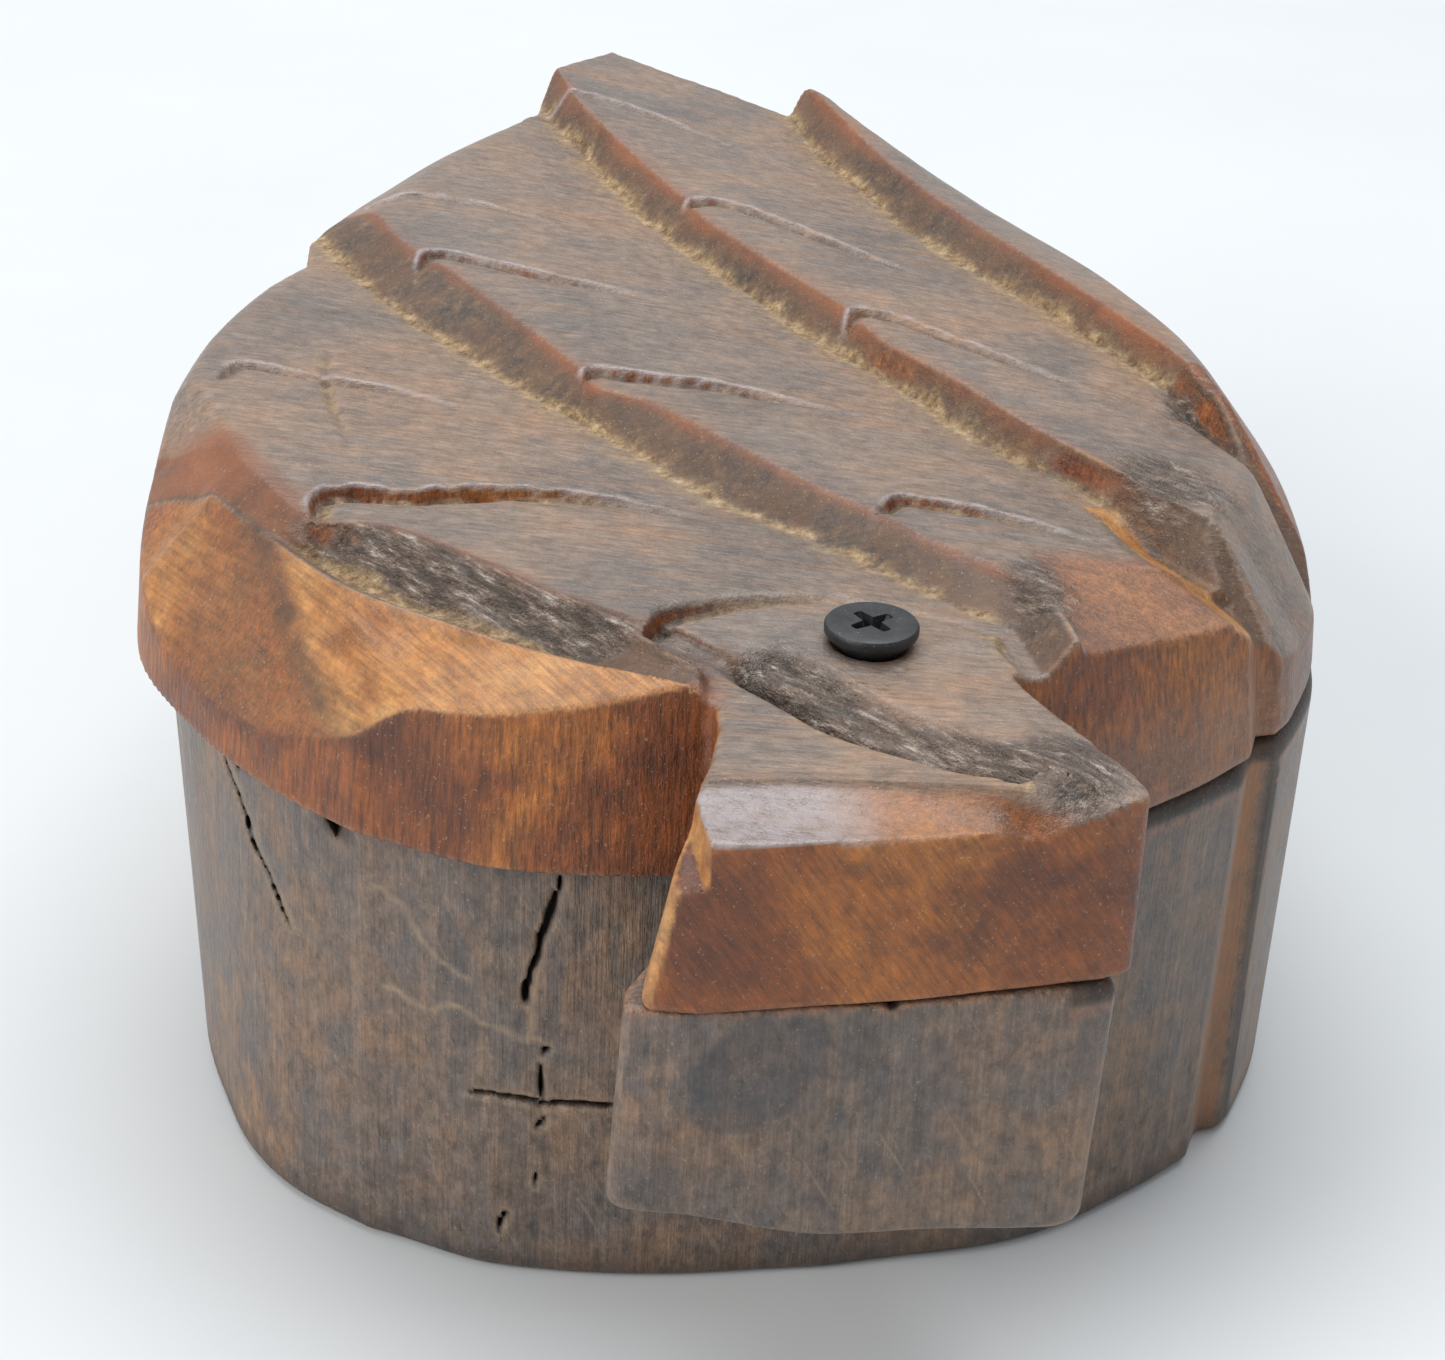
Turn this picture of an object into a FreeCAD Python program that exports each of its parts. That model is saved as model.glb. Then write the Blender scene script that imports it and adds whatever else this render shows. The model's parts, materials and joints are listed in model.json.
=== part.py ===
import FreeCAD, Part
import math
import os

from FreeCAD import Vector

# A hand-carved hardwood box in the shape of a bird: a leaf-shaped body with a pointed tail, and a flared
# head block standing out in front. One wood screw through the neck holds the lid, which swings level
# on it to open the box. Millimetres, +Z up, +Y from the head to the tail, the floor at Z = 0.

# ---- driving dimensions ----
BASE_HEIGHT = 43.8
SEAM_GAP = 0.3
LID_UNDERSIDE = BASE_HEIGHT + SEAM_GAP
CREST_HEIGHT = 62.5
GROOVE_DEPTH = 3.2
BLANK_HEIGHT = 64.0
LID_TURN = 2.5

PIVOT = Vector(2.4, -68.3, 0)

BODY_MIDDLE = Vector(0, -10, 0)
FOOT_ROUNDING = 1.2
FOOT_INSET = 0.8
BASE_SETBACK = 1.2
BASE_TAPER = 0.5
LID_TAPER = 1.8
BODY_HALF_WIDTH = 57.5

HEAD_UNDERSIDE = 20.6
HEAD_ROUNDING = 1.5

CAVITY_FLOOR = 8.0

SCREW_HEAD_RADIUS = 4.0
SCREW_HEAD_TOP = 62.3
SCREW_RIM = 0.9
SCREW_CONE = 2.4
SCREW_LENGTH = 38.0
SHANK_RADIUS = 1.75
THREAD_ROOT_RADIUS = 1.25
THREAD_PITCH = 1.6
POINT_LENGTH = 4.0
PILOT_RADIUS = 1.2
LID_HOLE_RADIUS = 1.85
RECESS_WIDTH = 1.0
RECESS_LENGTH = 4.4
RECESS_DEPTH = 1.7

# The body's outline at the seam, seen from above, clockwise from the middle of the front. Each run is
# a smooth curve through its points, or a straight edge where it has two.
BODY_OUTLINE = [
    [(0, -77.5), (-16.5, -77), (-33.5, -72), (-44.5, -63), (-52.5, -48.5), (-57.6, -32), (-55.4, -13),
     (-48, 9), (-37, 29)],
    [(-37, 29), (-36, 36.5)],
    [(-36, 36.5), (-21.5, 57.5), (-4.5, 78)],
    [(-4.5, 78), (-3.5, 81.5)],
    [(-3.5, 81.5), (8, 97.5)],
    [(8, 97.5), (29, 77)],
    [(29, 77), (34.5, 60), (42.5, 38), (50.2, 19), (54.6, 1), (56, -15), (55.6, -30), (52, -47),
     (43.5, -60.2)],
    [(43.5, -60.2), (40.5, -61.5)],
    [(40.5, -61.5), (39.3, -65)],
    [(39.3, -65), (31, -70.4), (18, -76), (0, -77.5)],
]

# The head block, seen from above: at the seam, at the top of the lid and at its underside.
HEAD_AT_SEAM = [(-11.5, -68), (-13, -80), (-21, -93), (-17.5, -96.4), (0, -97.5), (15, -96.8), (18, -94.6),
                (12.8, -78), (11.6, -68)]
HEAD_AT_TOP = [(-11.5, -68), (-12.9, -80), (-17.3, -93.4), (-15, -97), (0, -97.8), (15.2, -96.4), (18, -94.2),
               (13.4, -78), (11.6, -68)]
HEAD_AT_FOOT = [(-11.5, -68), (-13, -80), (-22.5, -92.5), (-19.5, -96), (0, -97.6), (14.5, -97), (17.2, -95),
                (12.6, -78), (11.6, -68)]

CAVITY_OUTLINE = [(2, -57), (-20, -58), (-37, -48), (-47, -30), (-46.5, -10), (-38, 11), (-26, 30), (-12, 50),
                  (4, 69), (16, 66), (25, 48), (34, 28), (43, 8), (47, -14), (45, -32), (37, -47), (22, -56)]

# Crest lines of the carved feathers, each from the back of the lid to its front. Each feather is
# highest along its own crest and slopes down to the foot of the next one.
LEFT_CREST = [(-62, -12), (-51, -24), (-45.9, -32.2), (-38.5, -47.5), (-27, -63), (-14, -71)]
BACK_LEFT_CREST = [(-41, 36), (-33.5, 26.3), (-19.5, 0), (-6, -27), (6, -49), (15.5, -65)]
MIDDLE_CREST = [(-9, 102), (-2.7, 66.2), (5.4, 28), (15.6, -5.9), (27, -31), (44, -56)]
RIGHT_CREST = [(23, 106), (27.3, 69.6), (30.5, 40), (36.4, 10.7), (47.6, -16.1), (62, -36)]

# The lid's outer edge, where the outermost facets meet its side walls: X, Y and height.
LEFT_EDGE = [(-68, -10, 50), (-60, -24, 50), (-59, -34, 51), (-51.5, -53, 53), (-36, -73, 57.2), (-15, -80, 59.5)]
RIGHT_EDGE = [(32, 106, 61.5), (33, 70, 61), (43, 40, 60), (56, 10, 56.5), (59, -16, 54.5), (57, -40, 51)]
FRONT_TOP = [(13.5, -66, 61.6), (26, -60, 61.4), (41, -50, 60.4)]
FRONT_EDGE = [(15, -79, 61), (34, -70.5, 57.6), (52, -56, 54)]

# Small curved cuts across the feathers: start, middle and end of each.
FEATHER_CUTS = [
    [(-25.7, 21.1), (-16.6, 20.3), (0.1, 9)],
    [(7, 36.3), (16.8, 33.6), (29, 17.6)],
    [(-13.2, -15), (-2, -17.4), (13.7, -23.1)],
    [(16.7, -2.2), (24.5, -4.6), (33.3, -16.6)],
    [(9.2, -47.3), (16.9, -47.5), (27.1, -54.5)],
    [(-49, -9), (-39.5, -8), (-23.8, -17.5)],
    [(-41.3, -42.4), (-29.2, -36.9), (-6, -43.5)],
    [(-16, -68.7), (-5, -63), (9, -60.5)],
]
CUT_WIDTH = 1.1
CUT_DEPTH = 1.2


def at_height(points, height):
    return [Vector(x, y, height) for x, y in points]


def inset_towards_middle(points, inset):
    scale = 1 - inset / BODY_HALF_WIDTH
    return [(x * scale, BODY_MIDDLE.y + (y - BODY_MIDDLE.y) * scale) for x, y in points]


def body_wire(inset, height):
    edges = []
    for run in BODY_OUTLINE:
        points = at_height(inset_towards_middle(run, inset), height)
        if len(points) == 2:
            edges.append(Part.makeLine(points[0], points[1]))
        else:
            curve = Part.BSplineCurve()
            curve.interpolate(points)
            edges.append(curve.toShape())
    return Part.Wire(edges)


def polygon_wire(points, height):
    corners = at_height(points, height)
    return Part.makePolygon(corners + corners[:1])


def stack(wires):
    return Part.makeLoft(wires, True, True)


def shrink(points, amount):
    """The head's outline drawn in by an amount, except at the back where it runs into the body."""
    middle_x = sum(x for x, _ in points) / len(points)
    drawn = []
    for x, y in points:
        towards = -1 if x > middle_x else 1
        back = y > -75
        drawn.append((x if back else x + towards * amount, y if back else y + amount))
    return drawn


def cavity():
    curve = Part.BSplineCurve()
    curve.interpolate(Points=at_height(CAVITY_OUTLINE, CAVITY_FLOOR), PeriodicFlag=True)
    mouth = Part.Face(Part.Wire([curve.toShape()]))
    return mouth.extrude(Vector(0, 0, BLANK_HEIGHT))


def pilot_hole():
    depth = SCREW_LENGTH + 0.5
    bottom = Vector(PIVOT.x, PIVOT.y, SCREW_HEAD_TOP - depth)
    return Part.makeCylinder(PILOT_RADIUS, depth, bottom)


def base_block():
    body = stack([
        body_wire(BASE_SETBACK + BASE_TAPER + FOOT_INSET, 0),
        body_wire(BASE_SETBACK + BASE_TAPER, FOOT_ROUNDING),
        body_wire(BASE_SETBACK, BASE_HEIGHT),
    ])
    head = stack([
        polygon_wire(shrink(HEAD_AT_FOOT, HEAD_ROUNDING), HEAD_UNDERSIDE),
        polygon_wire(HEAD_AT_FOOT, HEAD_UNDERSIDE + HEAD_ROUNDING),
        polygon_wire(HEAD_AT_SEAM, BASE_HEIGHT),
    ])
    return body.fuse(head).cut(cavity()).cut(pilot_hole()).removeSplitter()


def slope_between(high_line, low_line):
    """The space above a sloping strip that runs from one line down to another. Each line is a list
    of Vector, and both have the same number of points."""
    sections = []
    for high, low in zip(high_line, low_line):
        high_sky = Vector(high.x, high.y, BLANK_HEIGHT + 6)
        low_sky = Vector(low.x, low.y, BLANK_HEIGHT + 6)
        sections.append(Part.makePolygon([high, low, low_sky, high_sky, high]))
    return stack(sections)


def feather_slopes():
    """The four saw-tooth feathers, the facets outside them and the front corner's facet."""
    foot = CREST_HEIGHT - GROOVE_DEPTH
    crests = [LEFT_CREST, BACK_LEFT_CREST, MIDDLE_CREST, RIGHT_CREST]
    slopes = []
    for crest, next_crest in zip(crests, crests[1:]):
        slopes.append(slope_between(at_height(crest, CREST_HEIGHT), at_height(next_crest, foot)))
    left_edge = [Vector(*point) for point in LEFT_EDGE]
    right_edge = [Vector(*point) for point in RIGHT_EDGE]
    slopes.append(slope_between(left_edge, at_height(LEFT_CREST, foot)))
    slopes.append(slope_between(at_height(RIGHT_CREST, CREST_HEIGHT), right_edge))
    slopes.append(slope_between([Vector(*point) for point in FRONT_TOP], [Vector(*point) for point in FRONT_EDGE]))
    return slopes


def circle_centre(start, middle, end):
    (ax, ay), (bx, by), (cx, cy) = start, middle, end
    d = 2 * (ax * (by - cy) + bx * (cy - ay) + cx * (ay - by))
    a2, b2, c2 = ax * ax + ay * ay, bx * bx + by * by, cx * cx + cy * cy
    x = (a2 * (by - cy) + b2 * (cy - ay) + c2 * (ay - by)) / d
    y = (a2 * (cx - bx) + b2 * (ax - cx) + c2 * (bx - ax)) / d
    return x, y


def feather_cut(start, middle, end, surface):
    """A V-shaped cut along the arc through three points."""
    x, y = circle_centre(start, middle, end)
    radius = math.hypot(start[0] - x, start[1] - y)
    first = math.degrees(math.atan2(start[1] - y, start[0] - x))
    last = math.degrees(math.atan2(end[1] - y, end[0] - x))
    sweep = (last - first + 180) % 360 - 180
    section = Part.makePolygon([
        Vector(radius - CUT_WIDTH, 0, surface + 3),
        Vector(radius - CUT_WIDTH / 2, 0, surface),
        Vector(radius, 0, surface - CUT_DEPTH),
        Vector(radius + CUT_WIDTH / 2, 0, surface),
        Vector(radius + CUT_WIDTH, 0, surface + 3),
        Vector(radius - CUT_WIDTH, 0, surface + 3),
    ])
    cut = Part.Face(section).revolve(Vector(0, 0, 0), Vector(0, 0, 1), sweep)
    cut.rotate(Vector(0, 0, 0), Vector(0, 0, 1), first)
    cut.translate(Vector(x, y, 0))
    return cut


def head_bevel():
    """What is cut off the head's top: a slope from the neck down to its front edge."""
    profile = Part.makePolygon([
        Vector(-30, -62, 60.2),
        Vector(-30, -76, 60.2),
        Vector(-30, -88, 61.4),
        Vector(-30, -100, 58.0),
        Vector(-30, -100, 72),
        Vector(-30, -62, 72),
        Vector(-30, -62, 60.2),
    ])
    return Part.Face(profile).extrude(Vector(60, 0, 0))


def screw_hole():
    """The lid's running hole, opened out under the screw's head with a little room to spare."""
    room = 0.15
    rim_bottom = SCREW_HEAD_TOP - SCREW_RIM
    cone_bottom = rim_bottom - SCREW_CONE
    shaft = Part.makeCylinder(LID_HOLE_RADIUS, BLANK_HEIGHT, Vector(PIVOT.x, PIVOT.y, 0))
    seat = Part.makeCone(
        LID_HOLE_RADIUS, SCREW_HEAD_RADIUS + room, SCREW_CONE, Vector(PIVOT.x, PIVOT.y, cone_bottom - room)
    )
    mouth = Part.makeCylinder(SCREW_HEAD_RADIUS + room, 10, Vector(PIVOT.x, PIVOT.y, rim_bottom - room))
    return shaft.fuse([seat, mouth])


def lid():
    body = stack([body_wire(0, LID_UNDERSIDE), body_wire(LID_TAPER, BLANK_HEIGHT)])
    for space in feather_slopes():
        body = body.cut(space)
    head = stack([polygon_wire(HEAD_AT_SEAM, LID_UNDERSIDE), polygon_wire(HEAD_AT_TOP, BLANK_HEIGHT)])
    shape = body.fuse(head.cut(head_bevel()))
    surface = CREST_HEIGHT - GROOVE_DEPTH / 2
    for start, middle, end in FEATHER_CUTS:
        shape = shape.cut(feather_cut(start, middle, end, surface))
    shape = shape.cut(screw_hole())
    shape.rotate(PIVOT, Vector(0, 0, 1), LID_TURN)
    return shape


def pivot_screw():
    rim_bottom = SCREW_HEAD_TOP - SCREW_RIM
    cone_bottom = rim_bottom - SCREW_CONE
    tip = SCREW_HEAD_TOP - SCREW_LENGTH
    thread_bottom = tip + POINT_LENGTH
    turns = int((BASE_HEIGHT - thread_bottom) / THREAD_PITCH)
    profile = [
        Vector(0, 0, SCREW_HEAD_TOP),
        Vector(SCREW_HEAD_RADIUS - 0.3, 0, SCREW_HEAD_TOP),
        Vector(SCREW_HEAD_RADIUS, 0, SCREW_HEAD_TOP - 0.3),
        Vector(SCREW_HEAD_RADIUS, 0, rim_bottom),
        Vector(SHANK_RADIUS, 0, cone_bottom),
        Vector(SHANK_RADIUS, 0, BASE_HEIGHT),
    ]
    for turn in range(turns):
        top = BASE_HEIGHT - turn * THREAD_PITCH
        profile.append(Vector(THREAD_ROOT_RADIUS, 0, top - 0.35 * THREAD_PITCH))
        profile.append(Vector(THREAD_ROOT_RADIUS, 0, top - 0.65 * THREAD_PITCH))
        profile.append(Vector(SHANK_RADIUS, 0, top - THREAD_PITCH))
    profile.append(Vector(THREAD_ROOT_RADIUS, 0, thread_bottom))
    profile.append(Vector(0, 0, tip))
    profile.append(profile[0])
    screw = Part.Face(Part.makePolygon(profile)).revolve(Vector(0, 0, 0), Vector(0, 0, 1), 360)
    for length, width in ((RECESS_LENGTH, RECESS_WIDTH), (RECESS_WIDTH, RECESS_LENGTH)):
        corner = Vector(-length / 2, -width / 2, SCREW_HEAD_TOP - RECESS_DEPTH)
        screw = screw.cut(Part.makeBox(length, width, RECESS_DEPTH + 1, corner))
    screw.translate(PIVOT)
    return screw


os.makedirs("parts", exist_ok=True)
PIECES = {"base_block": base_block(), "lid": lid(), "pivot_screw": pivot_screw()}
for name, shape in PIECES.items():
    box = shape.BoundBox
    print(name, shape.ShapeType, "solids", len(shape.Solids), "valid", shape.isValid(),
          "volume", round(shape.Volume), "size", round(box.XLength, 1), round(box.YLength, 1), round(box.ZLength, 1))
    shape.exportStep(f"parts/{name}.step")
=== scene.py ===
import json
import math

import bmesh
import bpy
import numpy as np
from mathutils import Matrix, Vector


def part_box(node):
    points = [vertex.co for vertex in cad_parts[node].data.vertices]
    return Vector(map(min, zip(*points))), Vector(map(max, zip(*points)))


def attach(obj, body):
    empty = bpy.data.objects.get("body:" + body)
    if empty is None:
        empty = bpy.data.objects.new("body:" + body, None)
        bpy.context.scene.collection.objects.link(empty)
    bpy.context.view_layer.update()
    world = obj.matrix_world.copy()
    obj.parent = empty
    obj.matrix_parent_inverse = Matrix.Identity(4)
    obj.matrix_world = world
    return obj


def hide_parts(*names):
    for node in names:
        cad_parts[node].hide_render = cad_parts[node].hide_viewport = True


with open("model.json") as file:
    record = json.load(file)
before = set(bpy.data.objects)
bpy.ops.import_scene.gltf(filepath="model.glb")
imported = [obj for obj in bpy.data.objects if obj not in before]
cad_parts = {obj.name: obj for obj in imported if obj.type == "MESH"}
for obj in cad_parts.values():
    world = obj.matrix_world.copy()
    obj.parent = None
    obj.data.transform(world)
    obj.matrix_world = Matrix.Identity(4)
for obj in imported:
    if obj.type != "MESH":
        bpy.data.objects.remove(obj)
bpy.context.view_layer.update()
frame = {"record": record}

# The looks of a hand-carved wooden box in the shape of a bird. Both wooden pieces are carved here the way
# a carver works: a solid described by functions (its outline, its top, its cuts), meshed once. All carving
# is in millimetres, and to_object() turns it into metres.

MM = 0.001

# ---- sizes from the frame ----
RIM = (Vector(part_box("base_block")[1]) / MM).z
LID_BOTTOM = (Vector(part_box("lid")[0]) / MM).z
SCREW_LOW, SCREW_HIGH = (Vector(corner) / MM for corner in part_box("pivot_screw"))
PIVOT = Vector(frame["record"]["behaviour"]["joints"][0]["pos_m"]) / MM
SCREW_TOP = SCREW_HIGH.z
SCREW_RADIUS = (SCREW_HIGH.x - SCREW_LOW.x) / 2

# ---- driving sizes, as in the CAD source ----
LID_TURN = math.radians(2.5)
CREST = 62.5
GROOVE = 3.2
SHANK_RADIUS = 1.75
LID_HOLE_RADIUS = 1.85
CAVITY_FLOOR = 8.0
HEAD_UNDERSIDE = 20.6
FACET_TOP = 60.3
SEAT_BOTTOM, SEAT_TOP = 58.6, 61.2
THREAD_PITCH, THREAD_CORE, THREAD_DEPTH, THREAD_TAPER = 1.6, 1.2, 0.5, 5.0
SCREW_SIDES = 96

BODY_OUTLINE = [
    [(0, -77.5), (-16.5, -77), (-30, -73.8), (-41, -66.4)],
    [(-41, -66.4), (-47.5, -58), (-53.4, -46.5), (-57.6, -32), (-55.4, -13), (-48, 9), (-37, 29)],
    [(-37, 29), (-36, 36.5)],
    [(-36, 36.5), (-21.5, 57.5), (-4.5, 78)],
    [(-4.5, 78), (-3.5, 81.5)],
    [(-3.5, 81.5), (8, 97)],
    [(8, 97), (27.6, 79)],
    [(27.6, 79), (30.8, 77.2), (33, 69), (35.4, 60), (42.5, 38), (50.2, 19), (54.6, 1), (56, -15), (55.6, -30),
     (52, -47), (46.2, -57.6), (43.3, -61)],
    [(43.3, -61), (41.2, -61.2)],
    [(41.2, -61.2), (39.3, -65)],
    [(39.3, -65), (31, -70.4), (18, -76), (0, -77.5)],
]
CAVITY_OUTLINE = [(2, -57), (-20, -58), (-37, -48), (-47, -30), (-46.5, -10), (-38, 11), (-26, 30), (-12, 50),
                  (4, 69), (16, 66), (25, 48), (34, 28), (43, 8), (47, -14), (45, -32), (37, -47), (22, -56)]

# The four feathers' lines, back to front. Each feather's steep wall rises from its foot line to its crest.
LEFT_FOOT = [(-64, 30), (-64, -8), (-56, -21), (-51.7, -28.6), (-47.8, -37), (-44, -45.1), (-40.6, -51.3),
             (-37.2, -55.6), (-33.4, -59.3), (-26.7, -65.2), (-18.5, -71.4), (-12, -76.5)]
LEFT_CREST = [(-60, 30), (-58.5, -4), (-54, -16.5), (-49.3, -24.1), (-47.1, -30), (-44.6, -37), (-42.2, -42),
              (-36.5, -44.4), (-31.5, -48.4), (-24.8, -56.5), (-18.7, -62.8), (-15.2, -66.5), (-8, -75)]
BACK_LEFT_FOOT = [(-37, 42), (-33.4, 30.3), (-30.4, 18.7), (-27.2, 10.1), (-21, -3.3), (-15.1, -16.3), (-9.4, -26.7),
                  (-4.2, -37.1), (0.2, -43.1), (5.1, -50), (8.4, -54.9), (12.3, -60.9), (15.7, -65.5)]
BACK_LEFT_CREST = [(-32, 42), (-28.6, 35.7), (-27.5, 29.6), (-25.5, 23.4), (-23.2, 18.8), (-20.6, 11.5), (-17.4, 2),
                   (-14.9, -5.8), (-13.2, -11.6), (-12.2, -16.4), (-8.6, -19.4), (-6, -23.4), (-2.4, -30),
                   (2.5, -39), (7.8, -46.2), (11, -51.5), (15.2, -57.2), (18.8, -62)]
MIDDLE_FOOT = [(-5, 90), (-3.4, 78.8), (-2, 68.8), (0.1, 53.2), (2.6, 40.8), (4.9, 29.6), (8.8, 16.5), (15.1, -2),
               (19.2, -12.7), (22.6, -23.3), (26.2, -32), (29.6, -37), (32.3, -44.9), (34.8, -53.8), (37.4, -59.2),
               (39.2, -64)]
MIDDLE_CREST = [(-1.5, 90), (-0.2, 72), (2.3, 58.3), (5.1, 45.2), (6.8, 36.4), (7.6, 30.6), (10, 22.7), (13.2, 12.9),
                (16.4, 4), (17.6, -1.6), (18.4, -6.6), (20.4, -12), (23.8, -19.7), (27.3, -29.4), (31, -37.6),
                (35.8, -47.2), (39, -53.3), (41, -58.4), (42, -62.5)]
RIGHT_FOOT = [(28.2, 86), (28, 76.2), (27.8, 63.9), (28.6, 55), (30.5, 43.6), (31.9, 34), (35.1, 22.3), (39.6, 10),
              (43.3, -3.6), (46, -12.3), (47, -24), (48.8, -33), (50.6, -41), (52, -47)]
RIGHT_CREST = [(30, 86), (30.4, 76), (30.9, 68), (32.3, 54.3), (34.2, 43), (37, 29.8), (41.5, 13), (45.5, -2.9),
               (47.9, -14), (48.9, -24), (51, -33.3), (52.8, -39.5), (54.5, -46)]

# Curved cuts across the feathers, each from its crest to its fading end: points, then depth at the start.
FEATHER_CUTS = [
    ([(-25.6, 20.6), (-24, 23.7), (-20.8, 22.8), (-13.9, 18.5), (-6.3, 14.3), (0.3, 9.6)], 1.0),
    ([(6.3, 35.6), (8.6, 37.5), (12, 36.6), (18.1, 30.1), (24.1, 22), (31, 13.3)], 0.9),
    ([(-13.4, -13.6), (-11.7, -11.5), (-8.1, -12.4), (1.5, -14.9), (9, -19.2), (13.6, -22.2)], 1.1),
    ([(16.2, -1.6), (18.2, 1.7), (21.4, 0.5), (24.7, -3.2), (28.8, -7.8), (33.2, -14.5), (37.9, -19.5)], 0.9),
    ([(8.6, -46.2), (11.3, -43.3), (14.9, -44), (18.2, -45.5), (23, -48.6), (27.5, -52.4)], 1.0),
    ([(-48.4, -8.6), (-46, -4.8), (-42.2, -5.7), (-37.5, -8), (-30.9, -10.5), (-23.8, -16.4)], 0.6),
    ([(-42, -42.4), (-41, -37.2), (-38.1, -35.8), (-33.1, -36.8), (-29.3, -35.9), (-23.7, -35.6), (-18.1, -36.3),
      (-12.8, -37.8), (-7.7, -41.1), (-4.4, -43.2)], 1.5),
    ([(-4, 76), (4, 74), (12, 66), (18, 58)], 0.5),
    ([(-30, 42), (-22, 44), (-14, 40), (-8, 34)], 0.4),
]
NECK_RING = [(-15.6, -64.4), (-14.2, -62.2), (-9.6, -60.3), (-4.6, -59.4), (1, -59.6), (7.8, -62.6), (12, -65.6),
             (15, -69.5)]
CROSS_SCRATCH = [(-36.5, 1), (-37.8, -6), (-38, -14), (-37, -26)]
THROAT_CUT = [(-10.3, -68.4), (-6, -75.1), (-2.5, -81.5), (2, -86.2), (5.3, -89), (9, -91.7)]

FACET_CREASE = [(-49, -31), (-47.2, -37), (-45.8, -45), (-44.2, -54), (-42.4, -61.6), (-41, -67)]

# Cracks in the base's front wall, in X and height, with the width of each.
BASE_CRACKS = [
    ([(-24.1, 42.6), (-25, 38.1), (-25.8, 35), (-26.4, 32.3), (-26.9, 29.7)], 0.75),
    ([(-24.9, 25), (-25.3, 24.4)], 0.5),
    ([(-25.5, 23.1), (-25.4, 20), (-25.4, 18.8)], 0.55),
    ([(-31.4, 19.2), (-28.9, 19.5), (-25.4, 19.1), (-22.5, 19.3), (-17, 19)], 0.6),
    ([(-25.1, 17.4), (-25.6, 16.4)], 0.5),
    ([(-25.7, 11.2), (-26, 10.1)], 0.4),
    ([(-28.4, 6.8), (-29, 4.4)], 0.5),
    ([(-51.5, 40.5), (-50.3, 38), (-49.1, 34.5), (-47.5, 31.6), (-46.3, 29)], 0.4),
]
# Chips under the seam: X, width at the seam, height.
SEAM_CHIPS = [(-42.6, 2.6, 3.6), (-50.8, 2.2, 3.4), (-0.8, 1.4, 1.0)]
PALE_HAIRLINES = [
    [(-38.8, 27.7), (-36.4, 27.2), (-34.7, 26.6), (-32.6, 28), (-30.6, 26.9), (-28.1, 26.4), (-25.6, 25.4)],
    [(-39.5, 37.1), (-37.1, 37.1), (-35.9, 34.6), (-33.9, 32.2), (-31.4, 30.9)],
    [(-26.9, 29.7), (-26.3, 27.8), (-26.6, 25.6)],
]

# ---- small numeric tools ----


def smooth_step(value, low, high):
    t = np.clip((value - low) / (high - low), 0, 1)
    return t * t * (3 - 2 * t)


def smooth_max(a, b, radius):
    """The larger of two, with the crease between them rounded to about that radius."""
    h = np.clip(radius - np.abs(a - b), 0, None) / np.maximum(radius, 1e-6)
    return np.maximum(a, b) + h * h * radius * 0.25


def smooth_min(a, b, radius):
    return -smooth_max(-a, -b, radius)


def bump(distance, width):
    return np.exp(-((distance / width) ** 2))


def spot(x, y, centre, size, power=1):
    """1 at a place in plan, fading out over the given sizes. A higher power gives a flatter middle."""
    return np.exp(-(((x - centre[0]) / size[0]) ** 2 + ((y - centre[1]) / size[1]) ** 2) ** power)


def smooth_curve(points, steps=6, closed=False):
    """Points along a Catmull-Rom curve through the given ones."""
    p = np.array(points, float)
    if len(p) == 2:
        return p
    before, after = (p[-1:], p[:2]) if closed else (2 * p[:1] - p[1:2], 2 * p[-1:] - p[-2:-1])
    q = np.vstack([before, p, after])
    t = (np.arange(steps) / steps)[:, None]
    curve = []
    for a, b, c, d in zip(q, q[1:], q[2:], q[3:]):
        square = (2 * a - 5 * b + 4 * c - d) * t**2
        cube = (3 * b - a - 3 * c + d) * t**3
        curve.append(0.5 * (2 * b + (c - a) * t + square + cube))
    if not closed:
        curve.append(p[-1:])
    return np.vstack(curve)


def random_lattice(i, j, k, seed):
    """A repeatable random number from 0 to 1 at each whole-number place."""
    n = (i * 73856093) ^ (j * 19349663) ^ (k * 83492791) ^ (seed * 2654435761)
    n = (n ^ (n >> 13)) * 1274126177 & 0x7FFFFFFF
    return ((n ^ (n >> 16)) & 0xFFFF) / 65535.0


def noise(x, y, z, size, seed=0):
    """Smooth noise from -1 to 1. size is the spacing of its lumps, in mm, one number or one per axis."""
    sx, sy, sz = (size, size, size) if np.isscalar(size) else size
    places = [np.asarray(v, float) / s for v, s in ((x, sx), (y, sy), (z, sz))]
    whole = [np.floor(v).astype(np.int64) for v in places]
    part = [v - w for v, w in zip(places, whole)]
    part = [p * p * (3 - 2 * p) for p in part]
    total = 0
    for di in (0, 1):
        for dj in (0, 1):
            for dk in (0, 1):
                weight = 1
                for p, d in zip(part, (di, dj, dk)):
                    weight = weight * (p if d else 1 - p)
                total = total + weight * random_lattice(whole[0] + di, whole[1] + dj, whole[2] + dk, seed)
    return total * 2 - 1


def fractal(x, y, z, size, seed=0, octaves=3):
    total, weight = 0, 1
    for octave in range(octaves):
        scale = 0.5**octave
        sizes = size * scale if np.isscalar(size) else tuple(s * scale for s in size)
        total = total + weight * noise(x, y, z, sizes, seed + octave)
        weight *= 0.55
    return total


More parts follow.
